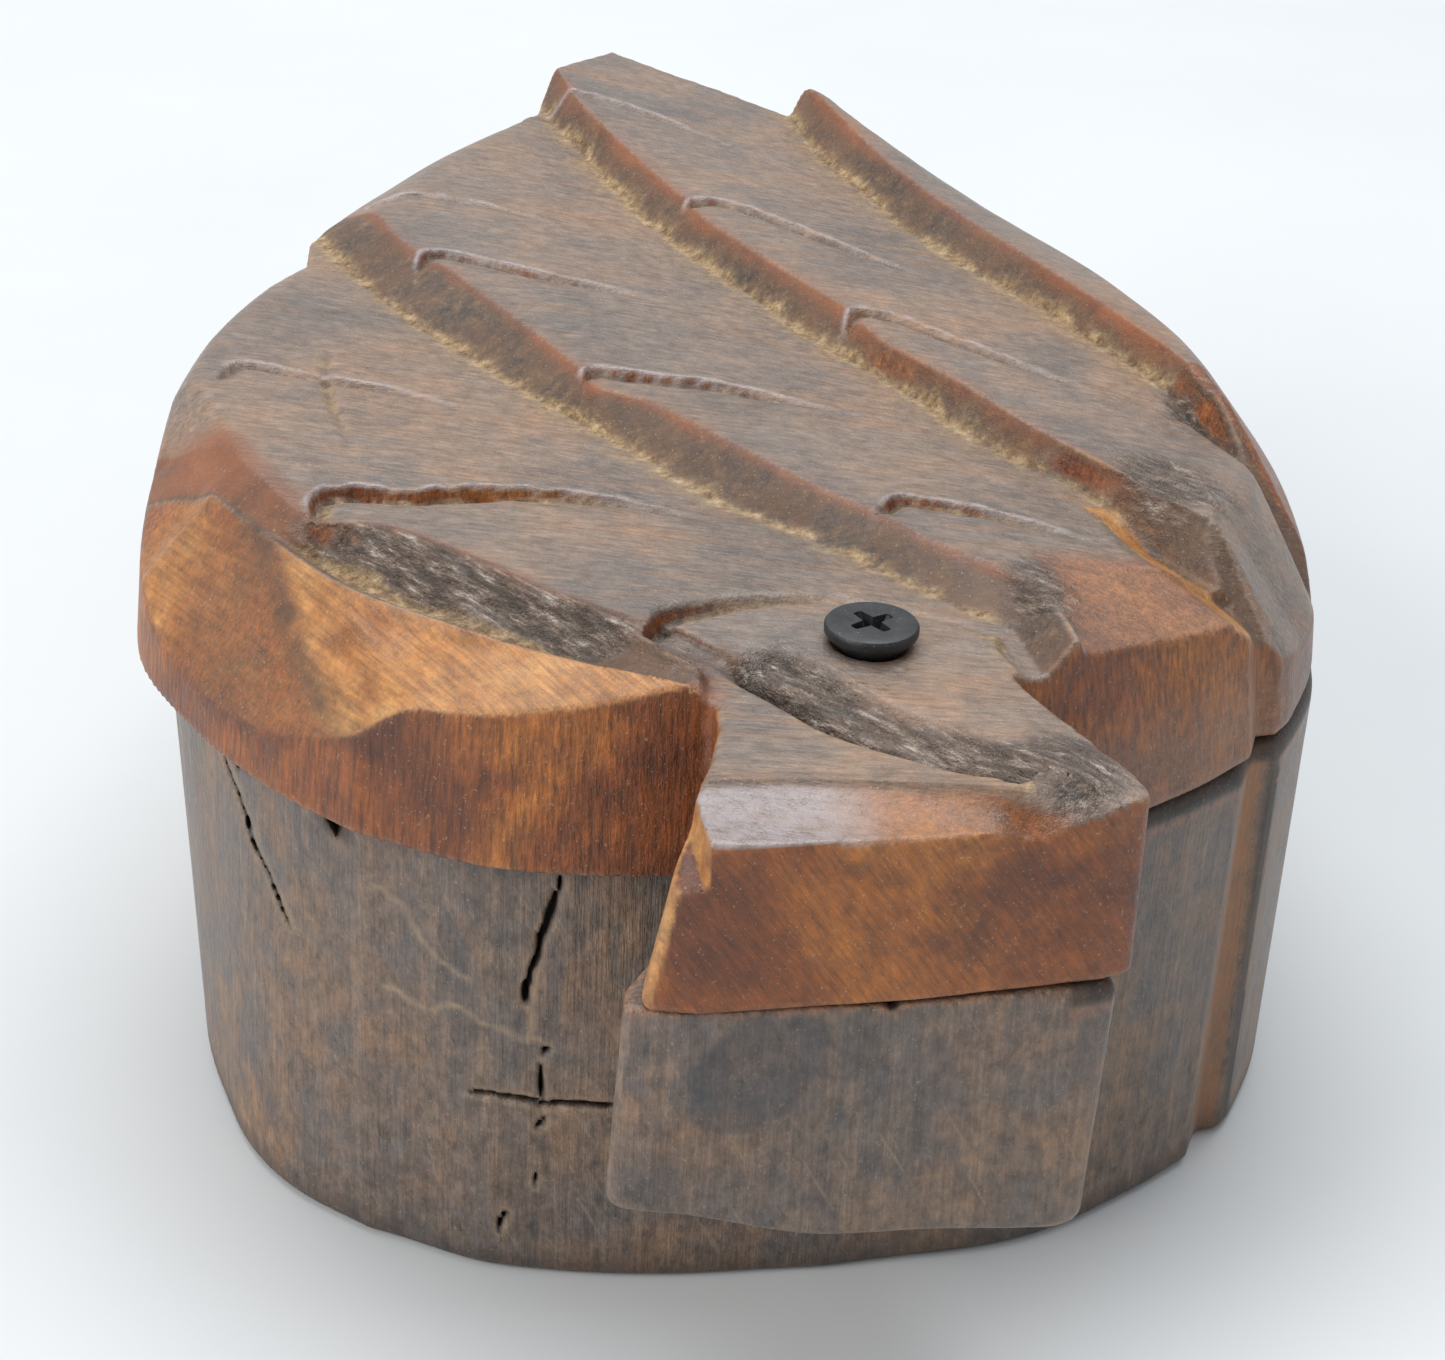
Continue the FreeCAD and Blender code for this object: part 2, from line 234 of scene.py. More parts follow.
def along_curve(x, y, curve):
    """For each point, its signed distance to a curve (positive on its right side, walking along it) and
    how far along the curve the nearest place is, from 0 to 1."""
    nearest = np.full(np.shape(x), 1e9)
    side = np.ones(np.shape(x))
    along = np.zeros(np.shape(x))
    lengths = np.hypot(*np.diff(curve, axis=0).T)
    starts = np.concatenate([[0], np.cumsum(lengths)])
    for i, length in enumerate(lengths):
        (ax, ay), (bx, by) = curve[i], curve[i + 1]
        ux, uy = (bx - ax) / length, (by - ay) / length
        t = np.clip((x - ax) * ux + (y - ay) * uy, 0, length)
        dx, dy = x - ax - t * ux, y - ay - t * uy
        d = dx * dx + dy * dy
        closer = d < nearest
        nearest = np.where(closer, d, nearest)
        side = np.where(closer, np.sign(dx * uy - dy * ux), side)
        along = np.where(closer, (starts[i] + t) / starts[-1], along)
    return np.sqrt(nearest) * side, along


def outline_curve(runs):
    return np.vstack([smooth_curve(run, 8)[:-1] for run in runs])


def outline_distance(x, y, outline):
    """Signed distance to a closed outline, negative inside."""
    closed = np.vstack([outline, outline[:1]])
    distance = np.abs(along_curve(x, y, closed)[0])
    inside = np.zeros(np.shape(x), bool)
    for (ax, ay), (bx, by) in zip(closed, closed[1:]):
        if ay != by:
            crosses = ((ay > y) != (by > y)) & (x < (bx - ax) * (y - ay) / (by - ay) + ax)
            inside ^= crosses
    return np.where(inside, -distance, distance)


def line_x(points, y):
    """X of a line that runs from back to front, at each Y."""
    curve = smooth_curve(points)
    order = np.argsort(curve[:, 1])
    return np.interp(y, curve[order, 1], curve[order, 0])


def turned(x, y, angle):
    """The points turned about the pivot, counter-clockwise seen from above."""
    c, s = math.cos(angle), math.sin(angle)
    dx, dy = x - PIVOT.x, y - PIVOT.y
    return PIVOT.x + c * dx - s * dy, PIVOT.y + s * dx + c * dy


# ---- meshing ----


def surface_net(field, axes):
    """Vertices and quads of the surface where a field on a grid of points passes zero, negative inside."""
    inside = field < 0
    corners = [(i, j, k) for i in (0, 1) for j in (0, 1) for k in (0, 1)]
    shape = tuple(n - 1 for n in field.shape)

    def window(array, offset):
        return array[tuple(slice(o, o + n) for o, n in zip(offset, shape))]

    count = sum(window(inside, c).astype(np.int8) for c in corners)
    cells = np.argwhere((count > 0) & (count < 8))
    index = np.full(shape, -1, np.int64)
    index[tuple(cells.T)] = np.arange(len(cells))
    total = np.zeros((len(cells), 3))
    crossings = np.zeros(len(cells))
    for a in corners:
        for axis in range(3):
            if a[axis]:
                continue
            b = tuple(v + (n == axis) for n, v in enumerate(a))
            at_a, at_b = cells + a, cells + b
            fa, fb = field[tuple(at_a.T)], field[tuple(at_b.T)]
            crosses = (fa < 0) != (fb < 0)
            t = np.where(crosses, fa / np.where(crosses, fa - fb, 1), 0)
            for n in range(3):
                pa, pb = axes[n][at_a[:, n]], axes[n][at_b[:, n]]
                total[:, n] += np.where(crosses, pa + t * (pb - pa), 0)
            crossings += crosses
    vertices = total / crossings[:, None]
    quads = []
    for axis in range(3):
        u, v = (axis + 1) % 3, (axis + 2) % 3
        low = inside[tuple(slice(None, -1) if n == axis else slice(1, -1) for n in range(3))]
        high = inside[tuple(slice(1, None) if n == axis else slice(1, -1) for n in range(3))]
        for rising in (True, False):
            edges = np.argwhere((low & ~high) if rising else (~low & high))
            edges[:, u] += 1
            edges[:, v] += 1
            ring = []
            for du, dv in ((-1, -1), (0, -1), (0, 0), (-1, 0)):
                cell = edges.copy()
                cell[:, u] += du
                cell[:, v] += dv
                ring.append(index[tuple(cell.T)])
            quads.append(np.stack(ring if rising else ring[::-1], axis=1))
    return vertices, np.vstack(quads)


def link_object(name, data):
    item = bpy.data.objects.new(name, data)
    bpy.context.collection.objects.link(item)
    return item


def to_object(name, vertices, quads, layers):
    """A smooth-shaded mesh object in metres, with one colour layer per named group of four vertex values."""
    mesh = bpy.data.meshes.new(name)
    mesh.vertices.add(len(vertices))
    mesh.vertices.foreach_set("co", (vertices * MM).astype(np.float32).ravel())
    mesh.loops.add(quads.size)
    mesh.loops.foreach_set("vertex_index", quads.astype(np.int32).ravel())
    mesh.polygons.add(len(quads))
    mesh.polygons.foreach_set("loop_start", np.arange(0, quads.size, 4, dtype=np.int32))
    mesh.update(calc_edges=True)
    mesh.shade_smooth()
    for layer, values in layers.items():
        attribute = mesh.attributes.new(layer, "FLOAT_COLOR", "POINT")
        colours = np.stack([np.clip(np.broadcast_to(v, len(vertices)), 0, 1) for v in values], axis=1)
        attribute.data.foreach_set("color", colours.astype(np.float32).ravel())
    return link_object(name, mesh)


def graded_axis(low, high, fine, coarse, fine_from, fine_to):
    """Grid places from low to high: fine steps between two places, growing to coarse steps outside."""
    places = [fine_from]
    while places[-1] < high:
        beyond = max(0, places[-1] - fine_to)
        places.append(places[-1] + min(coarse, fine + 0.02 * beyond))
    back = [fine_from]
    while back[-1] > low:
        beyond = max(0, fine_from - back[-1])
        back.append(back[-1] - min(coarse, fine + 0.02 * beyond))
    return np.array(back[:0:-1] + places)


# ---- the carved shapes ----

OUTLINE = outline_curve(BODY_OUTLINE)
CAVITY = smooth_curve(CAVITY_OUTLINE, 8, closed=True)
RING = smooth_curve(NECK_RING, 6)
SCRATCH = smooth_curve(CROSS_SCRATCH, 5)
THROAT = smooth_curve(THROAT_CUT, 5)
CREASE = smooth_curve(FACET_CREASE, 5)


def direction_from_middle(x, y):
    """Direction of a place from the lid's middle, in degrees: 0 at the head, positive on the right."""
    return np.degrees(np.arctan2(x, -(y + 15)))


def shoulder_height(x, y):
    """Height of the lid's top where it meets its side wall, by direction from the lid's middle."""
    around = [-180, -178, -175.5, -165, -150, -140, -130, -110, -97, -88, -75, -60, -45, -33, -20, 34, 39, 44, 50,
              58, 75, 90, 106, 124, 141, 152, 160, 167, 173, 180]
    height = [64.3, 64, 60.2, 60.2, 59.6, 59.2, 60, 59.5, 58, 54, 51, 52, 58, 62, 63, 62, 56, 50.5, 49.5, 50, 52.5,
              54.5, 56, 58, 60, 61.5, 62.8, 62, 62.5, 64.3]
    return np.interp(direction_from_middle(x, y), around, height)


def plane(x, y, corners):
    """Height of the flat cut through three points."""
    a, b, c = (np.array(p, float) for p in corners)
    normal = np.cross(b - a, c - a)
    return a[2] - (normal[0] * (x - a[0]) + normal[1] * (y - a[1])) / normal[2]


def cut_profile(x, y, cut):
    """How deep one curved cut goes at each point, and how strong its burnished far lip is."""
    points, depth = cut
    curve = smooth_curve(points, 5)
    deep = np.zeros(np.shape(x))
    lip = np.zeros(np.shape(x))
    low, high = curve.min(0) - 9, curve.max(0) + 9
    near = (x > low[0]) & (x < high[0]) & (y > low[1]) & (y < high[1])
    if not near.any():
        return deep, lip
    distance, along = along_curve(x[near], y[near], curve)
    ragged = noise(x[near], y[near], 0 * x[near], 1.7, 51)
    fade = depth * (1 - smooth_step(along, 0.45, 1.0)) * smooth_step(along, -0.02, 0.04) * (1 + 0.3 * ragged)
    distance = distance + 0.12 * ragged
    wall = smooth_step(distance, -0.35, 0.2)
    steep_part = 0.72 * np.exp(-(distance - 0.5) / (0.35 + 0.55 * depth**2))
    long_part = 0.28 * np.exp(-(distance - 0.5) / (1.5 + 1.5 * depth))
    floor = np.where(distance < 0.5, 1, steep_part + long_part)
    deep[near] = fade * wall * np.where(distance > 0, floor, 1) + 0.2 * bump(distance - 0.1, 0.35) * (fade > 0.02)
    lip[near] = bump(distance + 0.55, 0.34) * fade / depth * np.clip(0.75 + 1.1 * ragged, 0, 1)
    return deep, lip


def feather_heights(x, y):
    """The lid's top over its body: saw-tooth feathers between their foot and crest lines."""
    tail = smooth_step(y, 40, 92)
    front = smooth_step(-y, 30, 62)
    crest = CREST + 1.6 * tail - 0.7 * front
    feet = [line_x(points, y) for points in (LEFT_FOOT, BACK_LEFT_FOOT, MIDDLE_FOOT, RIGHT_FOOT)]
    crests = [line_x(points, y) for points in (LEFT_CREST, BACK_LEFT_CREST, MIDDLE_CREST, RIGHT_CREST)]
    feet_height = [CREST - GROOVE + raise_tail * tail for raise_tail in (0, 0, 0.8, -0.6)]
    trough = smooth_step(-y, 40, 46) * (1 - smooth_step(-y, 65, 72))
    height = np.full(np.shape(x), 60.0)
    wall_mask = np.zeros(np.shape(x))
    for n in range(4):
        bottom = feet_height[n] + (1.0 if n == 0 else 0.0)
        t = np.clip((x - feet[n]) / np.maximum(crests[n] - feet[n], 0.4), 0, 1)
        rise = 0.75 * t + 0.25 * smooth_step(t, 0, 1)
        on_wall = (x >= feet[n]) & (x < crests[n])
        wall = bottom + (crest - bottom) * rise
        if n == 0:
            dug = 58.7 + (crest - 58.7) * smooth_step(t, 0.42, 1.0) ** 0.85
            dug = np.where(t < 0.25, bottom + (58.7 - bottom) * smooth_step(t, 0.0, 0.25), dug)
            wall = wall + (dug - wall) * trough
        height = np.where(on_wall, wall, height)
        wall_mask = np.where(on_wall, 1, wall_mask)
        right = feet[n + 1] if n < 3 else crests[n] + 12
        low = feet_height[n + 1] if n < 3 else crest - 3.5
        s = np.clip((x - crests[n]) / np.maximum(right - crests[n], 0.4), 0, 1)
        on_feather = (x >= crests[n]) & (x < right)
        height = np.where(on_feather, crest - (crest - low) * s ** (1.35 - 0.35 * tail), height)
    return height, wall_mask, feet, crests


def neck_mask(x, y):
    """1 on the neck and head, in front of the ring cut round the screw."""
    distance = along_curve(x, y, RING)[0]
    within = (x > -17) & (x < 21) & (y < -58)
    left_edge = np.interp(y, [-98, -92, -80, -72, -66, -60], [-18, -18, -14, -12.6, -16.5, -16.5])
    right_edge = np.interp(y, [-98, -93, -80, -70, -64, -60], [19, 19, 14.6, 13, 15.5, 15.5])
    return within * smooth_step(distance, -0.2, 0.35) * smooth_step(x - left_edge, -0.6, 0.6) * smooth_step(
        right_edge - x, -0.6, 0.6)


def bevel_line(x):
    """Y of the back edge of the bevel at the head's front."""
    return np.interp(x, [-18, -10, -2, 4, 10], [-89.9, -90.3, -91.9, -93.2, -95.4])


def head_heights(x, y):
    """The top of the neck and head: a plate round the screw, a torn throat cut and the face's front bevel."""
    throat, along = along_curve(x, y, THROAT)
    plate = 60.4 - 0.3 * smooth_step(-y, 66, 76)
    face = 59.7 + 0.9 * smooth_step(-y, 76, 91)
    started = smooth_step(along, 0.0, 0.14)
    ended = 1 - 0.6 * smooth_step(along, 0.8, 1.0)
    deep = 2.4 * started * ended
    bank = np.where(throat < 0, np.clip(1 + throat / 5.2, 0, 1), np.clip(1 - throat / 2.6, 0, 1) ** 1.3)
    height = plate + (face - plate) * smooth_step(throat, -0.6, 0.6) - deep * bank
    height = height - 0.8 * started * bump(throat + 0.2, 0.6)
    bevel_top = bevel_line(x)
    bevel_end = 1 - smooth_step(x, 7, 12)
    bevel = np.clip((bevel_top - y) / (bevel_top + 97.4), 0, 1.1)
    fall = np.interp(x, [-18, -8, 4, 12], [0.9, 1.3, 1.7, 1.7])
    height = height - bevel_end * (fall * bevel + 0.45 * np.sin(np.pi * np.clip(bevel, 0, 1)) ** 0.6)
    height = height + 0.3 * bump(bevel_top - y + 0.5, 0.5) * bevel_end
    lump = spot(x, y, (12.6, -90.6), (4.0, 4.6))
    corner = 1.7 * smooth_step(-y, 93.4, 97.5) * smooth_step(x, 5, 9) * (1 - smooth_step(x, 13, 17))
    height = height + 1.1 * lump - corner
    height = height - 0.9 * bump(np.hypot(x - 8.2, (y + 91.5) * 0.6), 1.0)
    return height


def roughness_zones(x, y):
    """Where the wood is torn and chewed instead of cut clean, from 0 to 1."""
    throat, along = along_curve(x, y, THROAT)
    band = smooth_step(throat, -6.2, -3.2) * (1 - smooth_step(throat, 0.2, 1.4)) * smooth_step(along, 0, 0.1)
    foot, crest = line_x(LEFT_FOOT, y), line_x(LEFT_CREST, y)
    across = (x - foot) / np.maximum(crest - foot, 0.5)
    trough = smooth_step(across, 0.3, 0.5) * (1 - smooth_step(across, 0.9, 1.1)) * smooth_step(-y, 39, 45) * (
        1 - smooth_step(-y, 64, 69))
    zones = [
        0.75 * trough,
        spot(x, y, (37.4, -42.5), (5.4, 7.0), 1.5),
        spot(x, y, (18.8, -62), (2.8, 5.2)),
        spot(x, y, (12.6, -91), (4.8, 5.4), 1.5),
        0.85 * band,
        0.8 * spot(x, y, (46.5, -22), (3, 5)),
        0.5 * spot(x, y, (-14, -69), (3.5, 4.5)),
    ]
    return np.maximum.reduce(zones)


FRONT_FACET = [(-44, -45.1, FACET_TOP), (-26.7, -65.2, FACET_TOP), (-38, -68, 56.6)]
LEFT_FACET = [(-46.6, -39, FACET_TOP), (-42.7, -61.6, 57.2), (-56.4, -43, 51.0)]
FAR_LEFT_FACET = [(-52, -28, FACET_TOP), (-47, -39, FACET_TOP), (-57.6, -33, 50.4)]
RIGHT_FACET = [(22, -59, 61.6), (34.4, -63.1, 58.4), (26.5, -69.2, 59.4)]


def lid_top(x, y, detail=True):
    """Height of the lid's carved top at each place, in the lid's own squared-up position."""
    height, wall_mask, feet, crests = feather_heights(x, y)
    side = outline_distance(x, y, OUTLINE)
    inward = np.clip(-side, 0, None)
    edge = shoulder_height(x, y)
    angle = direction_from_middle(x, y)

    # Outside the left feather's groove three big flat cuts slope down to the side wall.
    facet = smooth_min(plane(x, y, FRONT_FACET), plane(x, y, LEFT_FACET), 0.3)
    facet = smooth_min(facet, plane(x, y, FAR_LEFT_FACET), 1.2)
    facet = facet - 0.5 * spot(x, y, (-37, -60), (8, 6))
    left_facet = x < feet[0]
    outside = np.clip(feet[0] - x, 0, None)
    facet = FACET_TOP + (facet - FACET_TOP) * smooth_step(outside, 0.0, 1.2) + 0.15 * bump(outside - 0.8, 0.7)
    outer = smooth_step(-y, 19, 30) * left_facet
    height = height + (facet - height) * outer

    # Elsewhere the feathers run out into a shoulder that falls to the side wall.
    steep = np.interp(angle, [-180, -176, -174, -150, -130, -100, -80, 30, 40, 50, 60, 100, 140, 160, 180],
                      [1.5, 1.4, 0.5, 0.5, 0.7, 1.3, 1.2, 1.4, 1.3, 1.2, 1.3, 1.3, 0.9, 0.6, 0.8])
    shoulder = edge + steep * inward
    height = smooth_min(height, shoulder + 30 * smooth_step(-y, 31, 40) * left_facet, 1.3)
    in_right_facet = smooth_step(x, 14, 20) * smooth_step(-y, 52, 58)
    right_facet = smooth_min(height, plane(x, y, RIGHT_FACET) + 30 * (1 - in_right_facet), 0.4)
    height = np.where((x > 19) & (x < feet[2] + 1.5), right_facet, height)
    valley = np.clip((x - feet[2]) / np.maximum(crests[2] - feet[2], 0.5), -1.2, 1)
    notch = np.where(valley < 0.25, (valley + 1.2) / 1.45, (1 - valley) / 0.75)
    height = height - 2.3 * np.clip(notch, 0, 1) * smooth_step(-y, 43, 50)
    valley = np.clip((x - feet[3]) / 3.0, -0.6, 1)
    notch = np.where(valley < 0.2, (valley + 0.6) / 0.8, (1 - valley) / 0.8)
    height = height - 1.7 * np.clip(notch, 0, 1) * smooth_step(-y, 15, 22)

    for cut in FEATHER_CUTS:
        deep, lip = cut_profile(x, y, cut)
        height = height - deep + 0.16 * lip
    scratch, along = along_curve(x, y, SCRATCH)
    height = height - 0.45 * bump(scratch, 0.5) * np.sin(np.pi * along) ** 0.5

    neck = neck_mask(x, y)
    height = height + (head_heights(x, y) - height) * neck
    ring, along = along_curve(x, y, RING)
    height = height - 0.8 * bump(ring - 0.5, 0.8) * smooth_step(along, 0, 0.06) * (1 - smooth_step(along, 0.85, 1))
    if detail:
        rough = roughness_zones(x, y)
        along_throat, across_throat = 0.62 * x - 0.78 * y, 0.78 * x + 0.62 * y
        torn = fractal(along_throat, across_throat, 0 * x, (7.0, 1.5, 1), 5, 4)
        height = height + rough * (0.6 * torn - 0.1)
        height = height + 0.13 * noise(x, y, 0 * x, (11, 17, 1), 2) + 0.05 * noise(x, y, 0 * x, (3.0, 7.0, 1), 3)
    return height


def head_block_side(x, y, z, seam, far, far_height, seam_height):
    """Signed distance to the head block's sides. Its left, right and front edges are given at the seam and
    at a far height, and run straight between."""
    t = (z - seam_height) / (far_height - seam_height)

    def between(a, b):
        return a + (b - a) * t

    left = between(np.interp(y, *seam["left"]), np.interp(y, *far["left"]))
    right = between(np.interp(y, *seam["right"]), np.interp(y, *far["right"]))
    front = between(np.interp(x, *seam["front"]), np.interp(x, *far["front"]))
    sides = smooth_max((left - x) * 0.88, (x - right) * 0.96, 1.0)
    return smooth_max(sides, front - y, 1.4)


HEAD_SEAM = {
    "left": ([-99, -93, -86, -80, -68], [-22.4, -21, -16.4, -13, -11.5]),
    "right": ([-99, -94.6, -86, -78, -68], [18.6, 18, 15.1, 12.8, 11.6]),
    "front": ([-23, -17.5, 0, 15, 19], [-95.4, -97, -97.5, -96.8, -95.8]),
}
HEAD_TOP = {
    "left": ([-99, -93.4, -86, -80, -68], [-19.6, -17.6, -14.6, -12.9, -11.5]),
    "right": ([-99, -94.2, -86, -78, -68], [18.8, 18, 15.6, 13.4, 11.6]),
    "front": ([-20, -15, 0, 15, 19], [-96.2, -97.4, -97.8, -96.8, -95.4]),
}
HEAD_FOOT = {
    "left": ([-99, -92.5, -86, -80, -68], [-24, -22.2, -17.2, -13.4, -11.5]),
    "right": ([-99, -95, -86, -78, -68], [17.6, 17, 14.6, 12.6, 11.6]),
    "front": ([-24, -19.5, 0, 14.5, 18], [-95.2, -96.8, -97.6, -97, -96]),
}


def lid_field(x, y, z):
    """Negative inside the lid. x and y are plan grids in the lid's squared-up position, z a row of heights."""
    side = outline_distance(x, y, OUTLINE)
    top = lid_top(x, y)
    waviness = 0.18 * noise(x, y, 0 * x, 9, 11)
    hole = np.hypot(x - PIVOT.x, y - PIVOT.y)
    angle = direction_from_middle(x, y)
    lean = 1.6 * (1 - smooth_step(y, 5, 30)) + 1.9 * bump(angle - 27, 13) + 0.6 * bump(angle + 22, 10)
    front = np.searchsorted(y[0], -60)
    bottom_edge = 0.35 + 0.7 * smooth_step(x, 18, 26)
    layers = []
    for height in z:
        t = (height - LID_BOTTOM) / 18
        body = side + (lean + waviness) * t
        head = np.full(np.shape(x), 50.0)
        head[:, :front] = head_block_side(x[:, :front], y[:, :front], height, HEAD_SEAM, HEAD_TOP, 61.0, LID_BOTTOM)
        walls = smooth_min(body, head, 0.8)
        layer = smooth_max(walls, (height - top) * 0.85, 0.45)
        layer = smooth_max(layer, LID_BOTTOM - height, bottom_edge)
        bore = np.interp(height, [SEAT_BOTTOM, SEAT_TOP], [LID_HOLE_RADIUS, SCREW_RADIUS + 0.15])
        layers.append(np.maximum(layer, bore - hole))
    return np.stack(layers, axis=2)


def crack_depth(x, z, cracks):
    """How open the wall is at each place on it: positive inside a crack."""
    opening = np.full(np.shape(x), -9.0)
    for points, width in cracks:
        curve = smooth_curve(points, 4)
        distance, along = along_curve(x, z, curve)
        ragged = 1 + 0.45 * noise(x, 0 * x, z, 0.9, 31)
        distance = distance + 0.22 * noise(x, 0 * x, z, 1.3, 33)
        half = 0.38 * width * ragged * (0.45 + 0.55 * np.sin(np.pi * np.clip(along, 0.04, 0.96)) ** 0.5)
        opening = np.maximum(opening, half - np.abs(distance))
    return opening


def base_field(x, y, z):
    """Negative inside the base block."""
    outer = outline_distance(x, y, OUTLINE)
    hollow = outline_distance(x, y, CAVITY)
    middle = np.hypot(x - 2, (y + 5) * 0.62)
    waviness = 0.16 * noise(x, y, 0 * x, 8, 21)
    angle = direction_from_middle(x, y)
    lower_left = 1.7 * bump(angle + 82, 20) - 2.5 * bump(angle + 50, 13)
    right_rim = 0.45 + 1.3 * smooth_step(x, 8, 20)
    front = np.searchsorted(y[0], -60)
    block_rise = 3.0 * smooth_step(-x[:, :front], 4, 20) - 1.2 * smooth_step(x[:, :front], 0, 16)
    bowl_wave = 0.2 * noise(x, y, 0 * x, 6, 25)
    floor_level = CAVITY_FLOOR + 0.25 * noise(x, y, 0 * x, 9, 23) + 0.0012 * middle**2
    pilot = np.hypot(x - PIVOT.x, y - PIVOT.y)
    layers = []
    for height in z:
        up = height / RIM
        setback = 1.25 + (0.55 + lower_left) * (1 - up) + waviness * (1 - 0.6 * up)
        body = outer + setback
        body = smooth_max(body, -height, 1.6)
        near = x[:, :front], y[:, :front]
        block = head_block_side(*near, height, HEAD_SEAM, HEAD_FOOT, HEAD_UNDERSIDE, RIM)
        underside = HEAD_UNDERSIDE + 0.4 + block_rise - height
        head = np.full(np.shape(x), 50.0)
        head[:, :front] = smooth_max(block, underside, 1.8)
        layer = smooth_min(body, head, 0.8)
        layer = smooth_max(layer, height - RIM, right_rim)
        bowl = smooth_max(hollow + 1.2 * (1 - up) + bowl_wave, floor_level - height, 7.0)
        layer = smooth_max(layer, -bowl, 0.5)
        cracked = (y < -42) & (np.abs(outer + setback) < 2.2) & (x < -14)
        opening = crack_depth(x[cracked], np.full(cracked.sum(), height), BASE_CRACKS)
        layer[cracked] = np.maximum(layer[cracked], opening)
        for chip_x, wide, tall in SEAM_CHIPS:
            reach = (RIM - height) / tall
            chip = wide * 0.5 * (1 - reach) - np.abs(x - chip_x - 0.6 * reach)
            layer = np.where((reach < 1) & (y < -40) & (layer > -2.4), np.maximum(layer, chip), layer)
        deep = (height > SCREW_LOW.z - 0.5) * (1.2 - pilot) - 5 * (height <= SCREW_LOW.z - 0.5)
        layers.append(np.maximum(layer, deep))
    return np.stack(layers, axis=2)


def vertex_normals(vertices, quads):
    diagonal_a = vertices[quads[:, 2]] - vertices[quads[:, 0]]
    diagonal_b = vertices[quads[:, 3]] - vertices[quads[:, 1]]
    face = np.cross(diagonal_a, diagonal_b)
    normals = np.zeros_like(vertices)
    for n in range(4):
        for axis in range(3):
            normals[:, axis] += np.bincount(quads[:, n], face[:, axis], len(vertices))
    return normals / np.maximum(np.linalg.norm(normals, axis=1), 1e-9)[:, None]


def edge_layers(vertices, quads, normals, passes=2):
    """How sharply convex and how sharply hollow the surface is at each vertex, each from 0 to 1."""
    bend = np.zeros(len(vertices))
    count = np.zeros(len(vertices))
    for n in range(4):
        here, there = quads[:, n], quads[:, (n + 1) % 4]
        step = ((vertices[there] - vertices[here]) * normals[here]).sum(1)
        bend += np.bincount(here, step, len(vertices))
        bend += np.bincount(there, -((vertices[there] - vertices[here]) * normals[there]).sum(1), len(vertices))
        count += np.bincount(here, minlength=len(vertices)) + np.bincount(there, minlength=len(vertices))
    bend /= count
    for _ in range(passes):
        spread = np.zeros(len(vertices))
        for n in range(4):
            here, there = quads[:, n], quads[:, (n + 1) % 4]
            spread += np.bincount(here, bend[there], len(vertices)) + np.bincount(there, bend[here], len(vertices))
        bend = 0.4 * bend + 0.6 * spread / count
    return smooth_step(-bend, 0.008, 0.05), smooth_step(bend, 0.008, 0.05)


